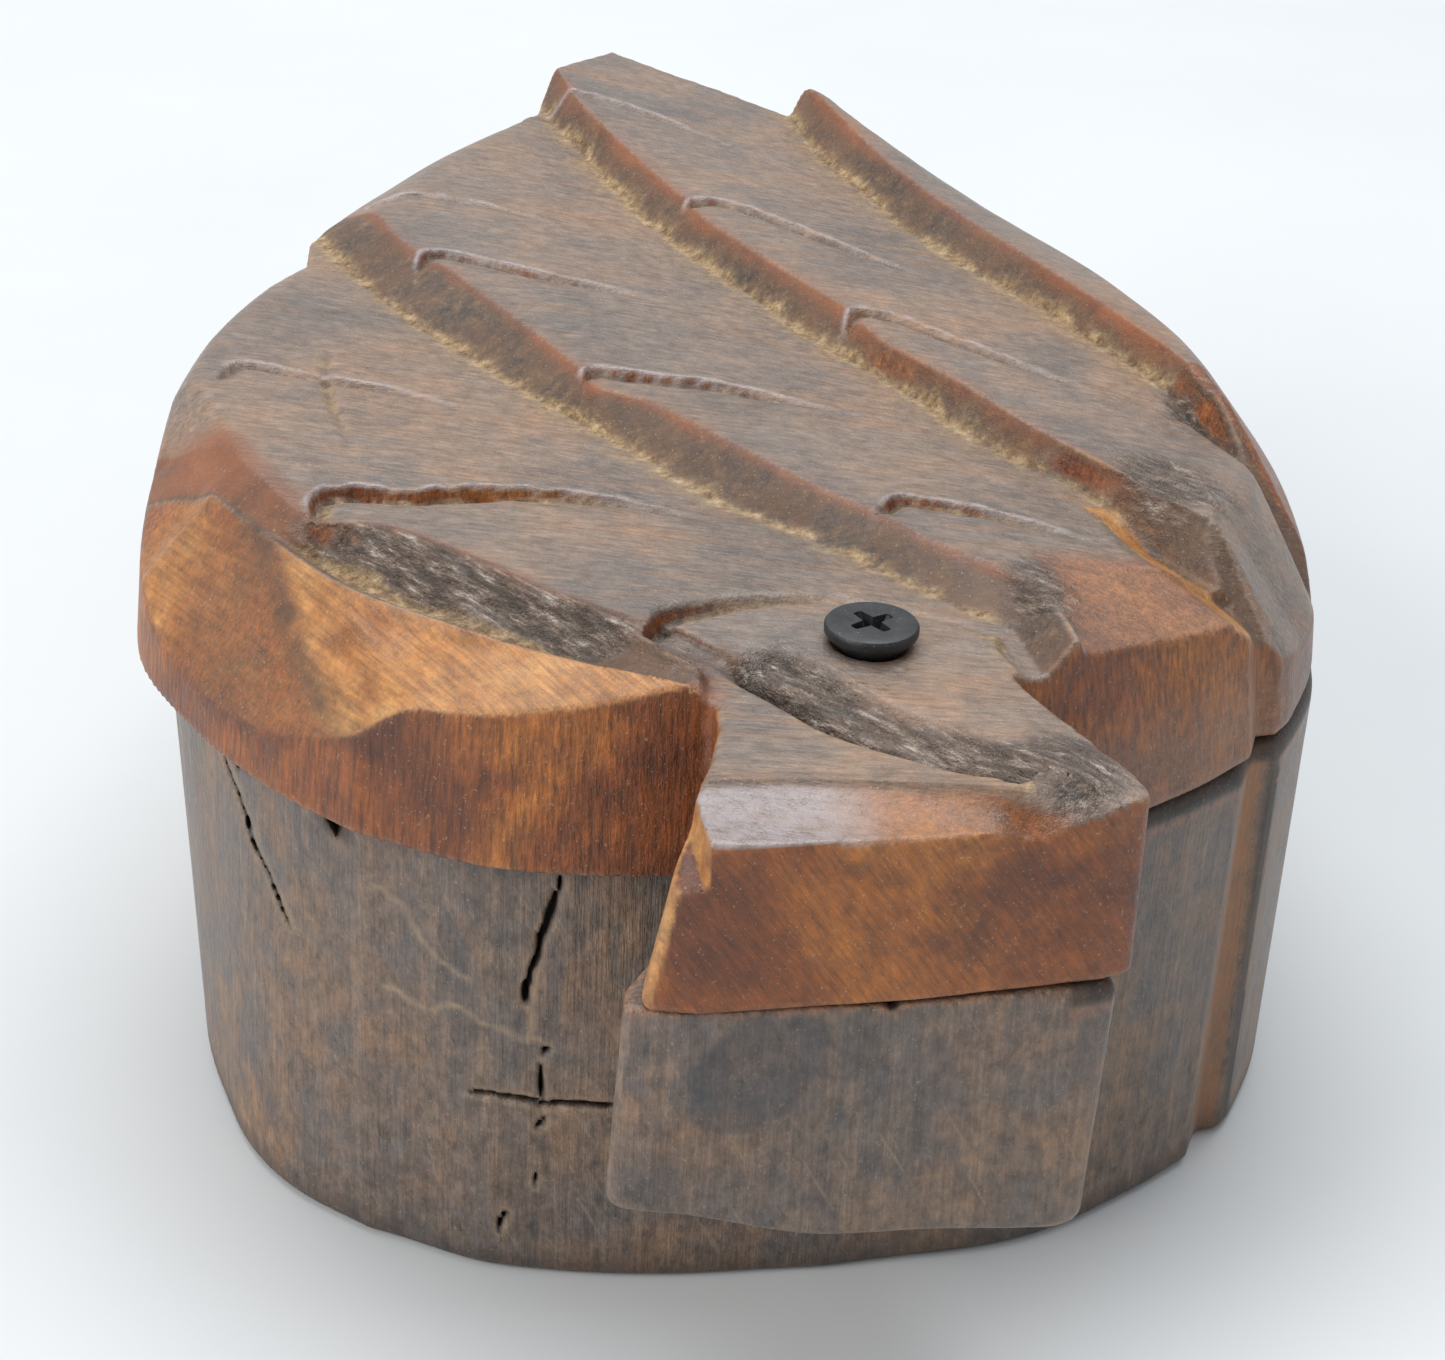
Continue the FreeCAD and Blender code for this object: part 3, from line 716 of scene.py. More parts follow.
def carve_lid():
    """The lid's mesh with the layers its wood material reads: tint (dust, grime and painted shade, worn crest,
    burnish and painted highlight), wood (heartwood, torn, pale facet with painted light, wall) and shape
    (convex, hollow, head, and one that isn't used)."""
    axes = [
        np.arange(-62, 62, 0.35),
        graded_axis(-101, 101, 0.34, 0.45, -99, -30),
        np.concatenate([[LID_BOTTOM - 0.6, LID_BOTTOM - 0.2], np.arange(LID_BOTTOM + 0.2, 66, 0.4)]),
    ]
    x, y = np.meshgrid(axes[0], axes[1], indexing="ij")
    vertices, quads = surface_net(lid_field(x, y, axes[2]).astype(np.float32), axes)
    normals = vertex_normals(vertices, quads)
    convex, hollow = edge_layers(vertices, quads, normals)
    vx, vy, vz = vertices.T
    _, wall_mask, feet, crests = feather_heights(vx, vy)
    top = lid_top(vx, vy, detail=False)
    on_top = smooth_step(vz - top, -1.3, -0.5) * smooth_step(normals[:, 2], 0.3, 0.5)
    on_top = on_top * np.maximum(smooth_step(vz, 56.8, 57.6), vy > -74)
    neck = neck_mask(vx, vy)
    body = (1 - neck) * (vy > -74)

    dust = np.zeros(len(vertices))
    worn = np.zeros(len(vertices))
    wander = 0.5 * noise(vx, vy, 0 * vx, 2.5, 61)
    for n, (foot, crest) in enumerate(zip(feet, crests)):
        ends = (1 - smooth_step(-vy, *[(64, 70), (62, 66), (42, 50), (14, 22)][n])) * (vy < 96)
        past = vx - foot + wander
        if n == 0:
            trough = smooth_step(past, 0.2, 1.0) * (1 - smooth_step(past / np.maximum(crest - foot, 0.5), 0.4, 0.6))
            dust = np.maximum(dust, trough * smooth_step(-vy, 40, 46) * ends)
        else:
            dust = np.maximum(dust, np.where(past < 0, bump(past, 1.5), bump(past, 0.9)) * ends)
            dust = np.maximum(dust, 0.5 * np.where(past < 0, bump(past, 5), bump(past, 2.0)) * ends)
        past = vx - crest + 0.5 * wander
        worn = np.maximum(worn, np.where(past < 0, bump(past + 0.2, 0.8), 0.7 * np.exp(-past / 0.9)) * ends)
        if n == 0:
            bare = smooth_step(vx - foot, 0, 0.6) * (1 - smooth_step(vx - crest, 0.5, 3.5))
            worn = np.maximum(worn, bare * smooth_step(vy, -46, -40) * (1 - smooth_step(vy, -24, -12)))
    # The cuts' far lips and the left of the head's bevel are painted pale grey: burnished wood with a painted
    # highlight.
    burnish_and_painted_highlight = np.zeros(len(vertices))
    for number, cut in enumerate(FEATHER_CUTS):
        deep, lip = cut_profile(vx, vy, cut)
        dust = np.maximum(dust, smooth_step(deep, 0.3, 0.9) * (0.9 if number in (4, 6) else 0.45))
        burnish_and_painted_highlight = np.maximum(burnish_and_painted_highlight, lip)
    scratch, along = along_curve(vx, vy, SCRATCH)
    dust = np.maximum(dust, 0.8 * bump(scratch, 0.8) * np.sin(np.pi * along))
    ring, along = along_curve(vx, vy, RING)
    dust = np.maximum(dust, 0.95 * bump(ring - 0.9, 1.1) * smooth_step(along, 0.03, 0.1) * (vx < 14))
    throat, along = along_curve(vx, vy, THROAT)
    on_head = neck * (vy < -66)
    dust = np.maximum(dust, 0.85 * bump(throat - 1.6, 1.5) * on_head * smooth_step(along, 0.2, 0.5) * (vx < 9))
    dust = np.maximum(dust, 0.6 * bump(vx - 12.6 + 0.25 * (vy + 70), 1.1) * on_head * (vy > -84) * (vy < -70))
    grime_and_painted_shade = np.maximum(wall_mask * body * 0.95, 0.95 * bump(throat + 0.2, 0.8) * on_head)
    front_valley = smooth_step((vx - feet[2]) / np.maximum(crests[2] - feet[2], 0.5), 0.1, 0.3)
    grime_and_painted_shade = np.maximum(grime_and_painted_shade, 0.95 * front_valley * (vx < crests[2]) * (vy < -44))
    right_line = bump(vx - feet[3] - 0.4, 0.8) * smooth_step(-vy, 16, 22)
    grime_and_painted_shade = np.maximum(grime_and_painted_shade, right_line)
    bevel_top = bevel_line(vx)
    bevel = smooth_step(bevel_top - vy, 0.0, 0.8) * on_head * on_top
    burnish_and_painted_highlight = np.maximum(burnish_and_painted_highlight, bevel * (1 - smooth_step(vx, -9, -1)))
    red_bevel = bevel * smooth_step(vx, -10, -2) * (1 - smooth_step(vx, 9, 13))
    grime_and_painted_shade = np.maximum(grime_and_painted_shade, 0.6 * bump(bevel_top - vy, 0.6) * on_head * (vx < 8))

    flat = smooth_step(normals[:, 2], 0.72, 0.93)
    left_facet = smooth_step(feet[0] - vx, -0.3, 0.5) * smooth_step(-vy, 17, 24) * (vy > -77.5) * (1 - neck)
    front_facets = smooth_step(-vy, 52, 58) * (vx > 20) * (vx < feet[2] + 2) * (1 - neck)
    valley_face = (vx > feet[2] - 3.0) & (vx < feet[2] + 1.2) & (vy < -43)
    right_side = (vx > feet[3]) & (vy < -16)
    orange = np.maximum.reduce([left_facet, front_facets * 0.9, valley_face, right_side, 1 - on_top])
    saddle = spot(vx, vy, (-14.2, -72.5), (3.4, 7.0), 1.5)
    orange = np.maximum.reduce([orange, saddle, red_bevel])
    bare = np.maximum.reduce([left_facet, valley_face, right_side, front_facets * 0.75, saddle, red_bevel * 0.7])
    orange = np.clip(orange * np.maximum(bare, 1 - flat * on_top), 0, 1)
    orange = orange * (1 - 0.45 * (vx > 20) * (1 - smooth_step(vz, 48, 56)))
    # Painted shade: a dark line along the crease between the left facets.
    crease = bump(along_curve(vx, vy, CREASE)[0], 0.9)
    grime_and_painted_shade = np.maximum(grime_and_painted_shade, 0.95 * crease * np.clip(0.75 + 0.5 * noise(vx, vy, vz, 2.0, 71), 0, 1))
    rough = roughness_zones(vx, vy) * on_top
    # Painted light: the front facet and a patch on the far left facet are painted paler than the left facet.
    painted_front_facet_light = smooth_step(plane(vx, vy, LEFT_FACET) - plane(vx, vy, FRONT_FACET), -0.6, 0.6)
    painted_front_facet_light = np.maximum(painted_front_facet_light, 0.8 * bump(np.hypot(vx + 54.5, (vy + 36) * 0.7), 4.5))
    pale = np.maximum(left_facet * (0.2 + 0.8 * painted_front_facet_light) * smooth_step(-vy, 22, 30), valley_face * 0.9) * on_top
    head_part = np.clip(on_head + (vy < -77) * 1.0, 0, 1)
    # Painted light: the head's left side, facing the left lamp, is painted paler and more orange.
    pale = np.maximum(pale, 0.95 * smooth_step(-normals[:, 0], 0.4, 0.7) * (vy < -79) * (1 - on_top))
    layers = {
        "tint": (dust * on_top, grime_and_painted_shade * on_top, worn * on_top * body, burnish_and_painted_highlight * on_top),
        "wood": (orange, rough, pale, 1 - on_top),
        "shape": (convex, hollow, head_part, 1),
    }
    vertices[:, 0], vertices[:, 1] = turned(vx, vy, LID_TURN)
    return to_object("carved_lid", vertices, quads, layers)


def carve_base():
    """The base's mesh, with layers tint (orange step, grime and painted shade, worn edge, dark stain) and wood
    (inside, pale hairline, convex, hollow)."""
    axes = [
        graded_axis(-61, 61, 0.34, 0.6, -54, -14),
        graded_axis(-101, 101, 0.42, 0.85, -99, -40),
        np.concatenate([[-0.6, -0.25], np.arange(0.15, RIM - 0.2, 0.4), [RIM - 0.12, RIM + 0.12, RIM + 0.5]]),
    ]
    x, y = np.meshgrid(axes[0], axes[1], indexing="ij")
    vertices, quads = surface_net(base_field(x, y, axes[2]).astype(np.float32), axes)
    normals = vertex_normals(vertices, quads)
    convex, concave = edge_layers(vertices, quads, normals)
    vx, vy, vz = vertices.T
    inside = (outline_distance(vx, vy, CAVITY) < 1.0) & (vz > CAVITY_FLOOR - 1)
    front = (vy < -40) & (vx < -12)
    opening = np.where(front, crack_depth(vx, vz, BASE_CRACKS), -9)
    crack = smooth_step(opening, -0.22, 0.12)
    pale = np.zeros(len(vertices))
    for line in PALE_HAIRLINES:
        wander = 0.5 * noise(vx, vy, vz, 1.3, 41)
        distance = np.abs(along_curve(vx, vz + wander, smooth_curve(line, 4))[0])
        pale = np.maximum(pale, bump(distance, 0.3) * front * (0.8 + 0.4 * noise(vx, vy, vz, 1.2, 42)))
    pale = np.maximum(pale, 0.5 * bump(opening + 0.35, 0.25) * front)
    head = (vy < -77.3).astype(float)
    edge = 0.35 * fractal(vx, vy, vz, 3.0, 43, 3)
    patch = ((vx + 11.2 - 0.25 * (vz - 38)) / 5.4) ** 2 + ((vz - 38.2) / 6.2) ** 2 + edge
    stain = (1 - smooth_step(patch, 0.75, 0.95)) * head * (0.75 + 0.25 * noise(vx, vy, vz, 1.4, 45))
    stain = np.maximum(stain, 0.7 * bump(vx + 19, 3.5) * bump(vz - 27.5, 2.2) * (vy < -90))
    rim = smooth_step(vz, RIM - 1.4, RIM - 0.3)
    worn = rim * np.maximum(convex, 0.35 * (vx > 10))
    worn = np.maximum(worn, 0.8 * bump(vz - (RIM - 2.3), 0.5) * (vx > 14) * (1 - inside))
    step_left = np.interp(vy, [-66, -60, -58], [40.0, 41.9, 43.2])
    step = (vx > 38.6) & (vx < 43.6) & (vy < -57) & (vy > -66)
    orange_face = step * (1 - smooth_step(vx - step_left, -0.9, 0.1))
    dark_face = step * smooth_step(vx - step_left, -0.2, 0.6)
    foot = 1 - smooth_step(vz, 0.3, 4.0)
    # Painted shadow: a dark line on the base just under the lid's seam on the right.
    seam = smooth_step(vz, RIM - 2.0, RIM - 1.2) * (vx > 14) * (1 - inside)
    grime_and_painted_shade = np.maximum.reduce([crack, 0.55 * foot * (1 - inside), dark_face * 0.75, 0.8 * seam])
    for chip_x, wide, tall in SEAM_CHIPS:
        chip = bump(vx - chip_x - 0.4, wide * 0.5) * smooth_step(vz, RIM - tall, RIM - tall + 1.2) * (vy < -40)
        grime_and_painted_shade = np.maximum(grime_and_painted_shade, chip)
    layers = {
        "tint": (orange_face, grime_and_painted_shade, worn, stain),
        "wood": (inside, pale, convex, concave),
    }
    return to_object("carved_base", vertices, quads, layers)


def add_ring(mesh, count, height, radius_at):
    """A level ring of vertices about the Z axis. radius_at gives the radius at each angle."""
    angles = [2 * math.pi * n / count for n in range(count)]
    return [mesh.verts.new((radius_at(a) * math.cos(a), radius_at(a) * math.sin(a), height)) for a in angles]


def finished_mesh(mesh, name):
    """The bmesh as mesh data, with its faces turned outward."""
    bmesh.ops.recalc_face_normals(mesh, faces=mesh.faces)
    data = bpy.data.meshes.new(name)
    mesh.to_mesh(data)
    mesh.free()
    return data


def thread_radius(height, angle):
    """The screw's radius along its thread: one ridge a turn, tapering to the tip."""
    phase = (height / THREAD_PITCH - angle / (2 * math.pi)) % 1.0
    ridge = max(0.0, 1 - abs(phase - 0.5) * 4.2)
    taper = min(1.0, (height - SCREW_LOW.z) / THREAD_TAPER)
    return max(0.02, (THREAD_CORE + THREAD_DEPTH * ridge) * taper)


def build_screw():
    """The black countersunk screw: a turned head with a cross recess, a plain shank and a helical thread."""
    mesh = bmesh.new()
    rim_bottom = SCREW_TOP - 1.0
    neck = SCREW_TOP - 3.3
    thread_top = RIM - 0.4
    profile = [(2.6, SCREW_TOP), (3.55, SCREW_TOP - 0.02), (3.86, SCREW_TOP - 0.12),
               (SCREW_RADIUS, SCREW_TOP - 0.32), (SCREW_RADIUS, rim_bottom + 0.12), (3.86, rim_bottom - 0.08),
               (2.6, SCREW_TOP - 2.35), (SHANK_RADIUS, neck), (SHANK_RADIUS, thread_top)]
    rings = [add_ring(mesh, SCREW_SIDES, height, lambda angle: radius) for radius, height in profile]
    centre = mesh.verts.new((0, 0, SCREW_TOP))
    for n in range(SCREW_SIDES):
        following = (n + 1) % SCREW_SIDES
        mesh.faces.new((centre, rings[0][n], rings[0][following]))
        for upper, lower in zip(rings, rings[1:]):
            mesh.faces.new((upper[n], lower[n], lower[following], upper[following]))

    steps_down = 96
    thread_sides = SCREW_SIDES // 2
    previous = rings[-1]
    for step in range(1, steps_down + 1):
        height = thread_top - (thread_top - SCREW_LOW.z) * step / steps_down
        ring = add_ring(mesh, thread_sides, height, lambda angle: thread_radius(height, angle))
        for n in range(thread_sides):
            m = (n + 1) % thread_sides
            if step == 1:
                # The plain shank above has twice as many sides as the thread.
                a, b, c = previous[2 * n], previous[2 * n + 1], previous[2 * m]
                mesh.faces.new((ring[n], ring[m], b, a))
                mesh.faces.new((ring[m], c, b))
            else:
                mesh.faces.new((ring[n], ring[m], previous[m], previous[n]))
        previous = ring
    end = mesh.verts.new((0, 0, SCREW_LOW.z))
    for n in range(thread_sides):
        mesh.faces.new((end, previous[(n + 1) % thread_sides], previous[n]))
    screw = link_object("cross_recess_screw", finished_mesh(mesh, "cross_recess_screw"))

    recess = link_object("recess_cutter", recess_mesh())
    cut = screw.modifiers.new("recess", "BOOLEAN")
    cut.object = recess
    cut.operation = "DIFFERENCE"
    cut.solver = "EXACT"
    bpy.context.view_layer.update()
    carved = bpy.data.meshes.new_from_object(screw.evaluated_get(bpy.context.evaluated_depsgraph_get()))
    screw.modifiers.clear()
    screw.data = carved
    bpy.data.objects.remove(recess)
    turn = Matrix.Rotation(math.radians(28), 4, "Z")
    carved.transform(Matrix.Translation(Vector((PIVOT.x, PIVOT.y, 0)) * MM) @ Matrix.Scale(MM, 4) @ turn)
    carved.shade_smooth()
    carved.set_sharp_from_angle(angle=math.radians(35))
    return screw


def recess_mesh():
    """A cross-recess driver's tip: four tapering wings, wider where they meet."""
    mesh = bmesh.new()
    sections = [(2.15, 0.46, 0.9, 0.6), (2.0, 0.42, 0.85, -0.25), (0.9, 0.28, 0.5, -1.7)]
    rings = []
    for reach, half, fillet, height in sections:
        ring = []
        for n in range(4):
            a = n * math.pi / 2
            short = reach * 0.93
            for across, out in ((-half, short), (-half * 0.6, reach), (half * 0.6, reach), (half, short)):
                x = out * math.cos(a) - across * math.sin(a)
                y = out * math.sin(a) + across * math.cos(a)
                ring.append(mesh.verts.new((x, y, SCREW_TOP + height)))
            b = a + math.pi / 4
            corner = fillet * 0.92
            ring.append(mesh.verts.new((corner * math.cos(b), corner * math.sin(b), SCREW_TOP + height)))
        rings.append(ring)
    count = len(rings[0])
    for upper, lower in zip(rings, rings[1:]):
        for n in range(count):
            mesh.faces.new((upper[n], upper[(n + 1) % count], lower[(n + 1) % count], lower[n]))
    mesh.faces.new(rings[0][::-1])
    mesh.faces.new(rings[-1])
    return finished_mesh(mesh, "recess")


# ---- materials ----


class Nodes:
    """Short calls for building a material's node tree."""

    def __init__(self, name):
        self.material = bpy.data.materials.new(name)
        self.material.use_nodes = True
        self.tree = self.material.node_tree
        self.tree.nodes.clear()
        self.output = self.tree.nodes.new("ShaderNodeOutputMaterial")
        self.shader = self.tree.nodes.new("ShaderNodeBsdfPrincipled")
        self.tree.links.new(self.shader.outputs[0], self.output.inputs[0])

    def link(self, source, target):
        if hasattr(source, "is_output"):
            self.tree.links.new(source, target)
        else:
            target.default_value = source

    def set(self, node, **values):
        """Sets or links a node's inputs. An underscore in a name stands for a space."""
        for name, value in values.items():
            self.link(value, node.inputs[name.replace("_", " ")])
        return node

    def new(self, kind, **values):
        return self.set(self.tree.nodes.new("ShaderNode" + kind), **values)

    def place(self, scale=(1, 1, 1), turn=(0, 0, 0)):
        """Object coordinates, turned and then stretched."""
        coordinates = self.new("TexCoord").outputs["Object"]
        turned_only = self.new("Mapping", Rotation=turn, Vector=coordinates).outputs[0]
        return self.new("Mapping", Scale=scale, Vector=turned_only).outputs[0]

    def noise(self, place, scale, detail=6, roughness=0.6, distortion=0.0):
        return self.new("TexNoise", Vector=place, Scale=scale, Detail=detail, Roughness=roughness,
                        Distortion=distortion).outputs["Fac"]

    def ramp(self, value, stops):
        node = self.new("ValToRGB", Fac=value)
        ramp = node.color_ramp
        while len(ramp.elements) < len(stops):
            ramp.elements.new(0.5)
        for element, (position, colour) in zip(ramp.elements, stops):
            element.position = position
            element.color = (*colour, 1) if not np.isscalar(colour) else (colour, colour, colour, 1)
        return node.outputs["Color"]

    def fit(self, value, low, high, to_low=0.0, to_high=1.0):
        node = self.new("MapRange", Value=value, From_Min=low, From_Max=high, To_Min=to_low, To_Max=to_high)
        return node.outputs["Result"]

    def maths(self, operation, a, b=0.0):
        node = self.new("Math")
        node.operation = operation
        self.link(a, node.inputs[0])
        self.link(b, node.inputs[1])
        return node.outputs[0]

    def times(self, a, b):
        return self.maths("MULTIPLY", a, b)

    def plus(self, a, b):
        return self.maths("ADD", a, b)

    def mix(self, factor, a, b, blend="MIX"):
        node = self.new("Mix")
        node.data_type = "RGBA"
        node.blend_type = blend
        node.clamp_factor = True
        self.link(factor, node.inputs["Factor"])
        for socket, value in ((node.inputs["A"], a), (node.inputs["B"], b)):
            self.link(value if hasattr(value, "is_output") else (*value, 1), socket)
        return node.outputs["Result"]

    def layer(self, name):
        """The four channels of a vertex layer."""
        node = self.new("Attribute")
        node.attribute_name = name
        split = self.new("SeparateColor", Color=node.outputs["Color"])
        return split.outputs[0], split.outputs[1], split.outputs[2], node.outputs["Alpha"]

    def bump(self, height, distance, strength=1.0, under=None):
        node = self.new("Bump", Distance=distance, Strength=strength, Height=height)
        if under is not None:
            self.tree.links.new(under, node.inputs["Normal"])
        return node.outputs[0]


def shade(value, low, high, n, colour):
    """The colour times a factor that runs from low to high with the value's own texture."""
    return n.mix(1.0, colour, n.ramp(value, [(0.34, low), (0.66, high)]), "MULTIPLY")


def lid_wood():
    """Oiled and worn hardwood: grey-brown and polished on top, orange heartwood on the cut facets and sides,
    ochre dust in the grooves, grime on the steep walls and red worn crests; painted shade along the left facets'
    crease, a painted highlight on the cut lips and the bevel, and painted light on the front facet and the
    head's left side."""
    n = Nodes("lid_wood")
    dust, grime_and_painted_shade, worn, burnish_and_painted_highlight = n.layer("tint")
    orange, rough, pale, wall = n.layer("wood")
    convex, hollow, head, _ = n.layer("shape")

    upright = n.noise(n.place((1, 1, 0.05)), 2500, 3, 0.7, 0.2)
    fibres = n.noise(n.place((0.13, 1, 1), (0, 0, 0.25)), 1900, 3, 0.7, 0.6)
    fan = n.noise(n.place((1, 0.06, 0.3), (0, 0, -0.5)), 2300, 3, 0.7)
    diagonal = n.noise(n.place((1, 1, 0.12), (0, 0.6, 0)), 2600, 3, 0.75)
    bands = n.noise(n.place((0.16, 1, 0.6), (0, 0, 0.2)), 240, 4, 0.6, 1.2)
    patches = n.noise(n.place((1, 0.8, 1)), 46, 5, 0.62, 0.8)
    blotches = n.noise(n.place((1, 1, 1), (0.4, 0, 0.2)), 110, 5, 0.68, 0.5)
    mottle = n.noise(n.place(), 620, 4, 0.75)
    speckle = n.noise(n.place(), 3400, 1, 0.8)

    heart = n.ramp(patches, [(0.3, (0.105, 0.026, 0.006)), (0.45, (0.225, 0.062, 0.012)),
                             (0.58, (0.33, 0.108, 0.02)), (0.72, (0.42, 0.165, 0.036))])
    heart = n.mix(n.fit(blotches, 0.5, 0.68, 0, 0.7), heart, (0.085, 0.026, 0.011))
    amber = n.ramp(blotches, [(0.32, (0.30, 0.105, 0.022)), (0.5, (0.46, 0.20, 0.055)), (0.7, (0.60, 0.31, 0.10))])
    amber = shade(fan, 0.62, 1.25, n, amber)
    grained = shade(upright, 0.5, 1.35, n, heart)
    grained = n.mix(head, grained, shade(diagonal, 0.72, 1.25, n, heart))
    # Amber where the pale layer is set: pale facets, and painted light on the front facet and the head's left side.
    heart = n.mix(n.times(pale, 0.9), grained, amber)
    heart = shade(mottle, 0.78, 1.2, n, heart)

    grey = n.ramp(patches, [(0.3, (0.125, 0.098, 0.085)), (0.45, (0.20, 0.15, 0.12)),
                            (0.57, (0.255, 0.17, 0.12)), (0.72, (0.31, 0.18, 0.105))])
    grey = n.mix(n.fit(bands, 0.48, 0.66, 0, 0.5), grey, (0.29, 0.16, 0.09))
    grey = n.mix(n.fit(blotches, 0.5, 0.66, 0, 0.5), grey, (0.12, 0.097, 0.09))
    grey = shade(fibres, 0.74, 1.22, n, grey)
    grey = shade(mottle, 0.8, 1.2, n, grey)
    colour = n.mix(orange, grey, heart)

    steep = n.ramp(mottle, [(0.3, (0.022, 0.014, 0.01)), (0.48, (0.062, 0.037, 0.022)), (0.62, (0.125, 0.07, 0.035)),
                              (0.75, (0.24, 0.165, 0.095))])
    steep = n.mix(n.fit(blotches, 0.42, 0.6, 0, 0.7), steep, (0.13, 0.056, 0.023))
    # Dark brown on grime on the steep walls and valleys, and painted shade along the facet crease.
    colour = n.mix(n.times(grime_and_painted_shade, n.fit(patches, 0.25, 0.7, 1.0, 0.75)), colour, steep)
    crest = n.ramp(blotches, [(0.3, (0.15, 0.042, 0.016)), (0.7, (0.31, 0.105, 0.036))])
    colour = n.mix(n.times(worn, n.fit(patches, 0.3, 0.6, 0.3, 0.9)), colour, crest)
    torn = n.ramp(n.noise(n.place((0.2, 1, 1), (0, 0, 0.9)), 1300, 4, 0.75),
                  [(0.4, (0.024, 0.016, 0.011)), (0.5, (0.09, 0.06, 0.042)), (0.59, (0.22, 0.165, 0.13)),
                   (0.68, (0.54, 0.48, 0.43))])
    colour = n.mix(n.fit(rough, 0.2, 0.75, 0, 0.8), colour, torn)
    ochre = n.ramp(n.noise(n.place(), 900, 4, 0.75), [(0.34, (0.12, 0.068, 0.028)), (0.46, (0.28, 0.175, 0.082)),
                                                      (0.58, (0.42, 0.29, 0.155)), (0.7, (0.56, 0.43, 0.27))])
    caught = n.times(dust, n.fit(n.noise(n.place(), 260, 4, 0.75), 0.35, 0.6, 0.4, 1.2))
    colour = n.mix(n.fit(caught, 0.25, 0.95, 0, 0.9), colour, ochre)
    colour = n.mix(n.times(hollow, 0.55), colour, (0.05, 0.032, 0.02))
    colour = n.mix(n.times(convex, n.fit(mottle, 0.4, 0.6, 0.05, 0.4)), colour, (0.46, 0.27, 0.16))
    # Pale grey on the cut lips and the bevel's left end: a painted highlight on burnished wood.
    colour = n.mix(n.times(burnish_and_painted_highlight, n.fit(mottle, 0.35, 0.6, 0.3, 0.85)), colour, (0.34, 0.285, 0.29))
    colour = n.mix(n.fit(speckle, 0.67, 0.75, 0, 0.4), colour, (0.50, 0.38, 0.26))

    gloss = n.plus(n.fit(patches, 0.3, 0.7, 0.34, 0.5), n.times(dust, 0.4))
    gloss = n.plus(gloss, n.times(grime_and_painted_shade, 0.2))
    gloss = n.plus(gloss, n.times(wall, 0.1))
    gloss = n.plus(gloss, n.fit(mottle, 0.4, 0.65, -0.08, 0.12))
    gloss = n.maths("SUBTRACT", gloss, n.times(burnish_and_painted_highlight, 0.1))

    lines = n.mix(orange, fibres, n.mix(head, upright, diagonal))
    normal = n.bump(lines, 0.0003, 0.55)
    chewed = n.times(n.noise(n.place(), 1300, 3, 0.75), n.fit(rough, 0.1, 0.7, 0.3, 1.8))
    normal = n.bump(chewed, 0.0007, 0.7, normal)
    normal = n.bump(n.times(mottle, n.plus(dust, 0.3)), 0.0005, 0.6, normal)
    normal = n.bump(n.noise(n.place(), 420, 3, 0.65), 0.0004, 0.35, normal)
    n.set(n.shader, Base_Color=colour, Roughness=gloss, Normal=normal, Specular_IOR_Level=0.5, Coat_Weight=0.2,
          Coat_Roughness=0.3)
    return n.material


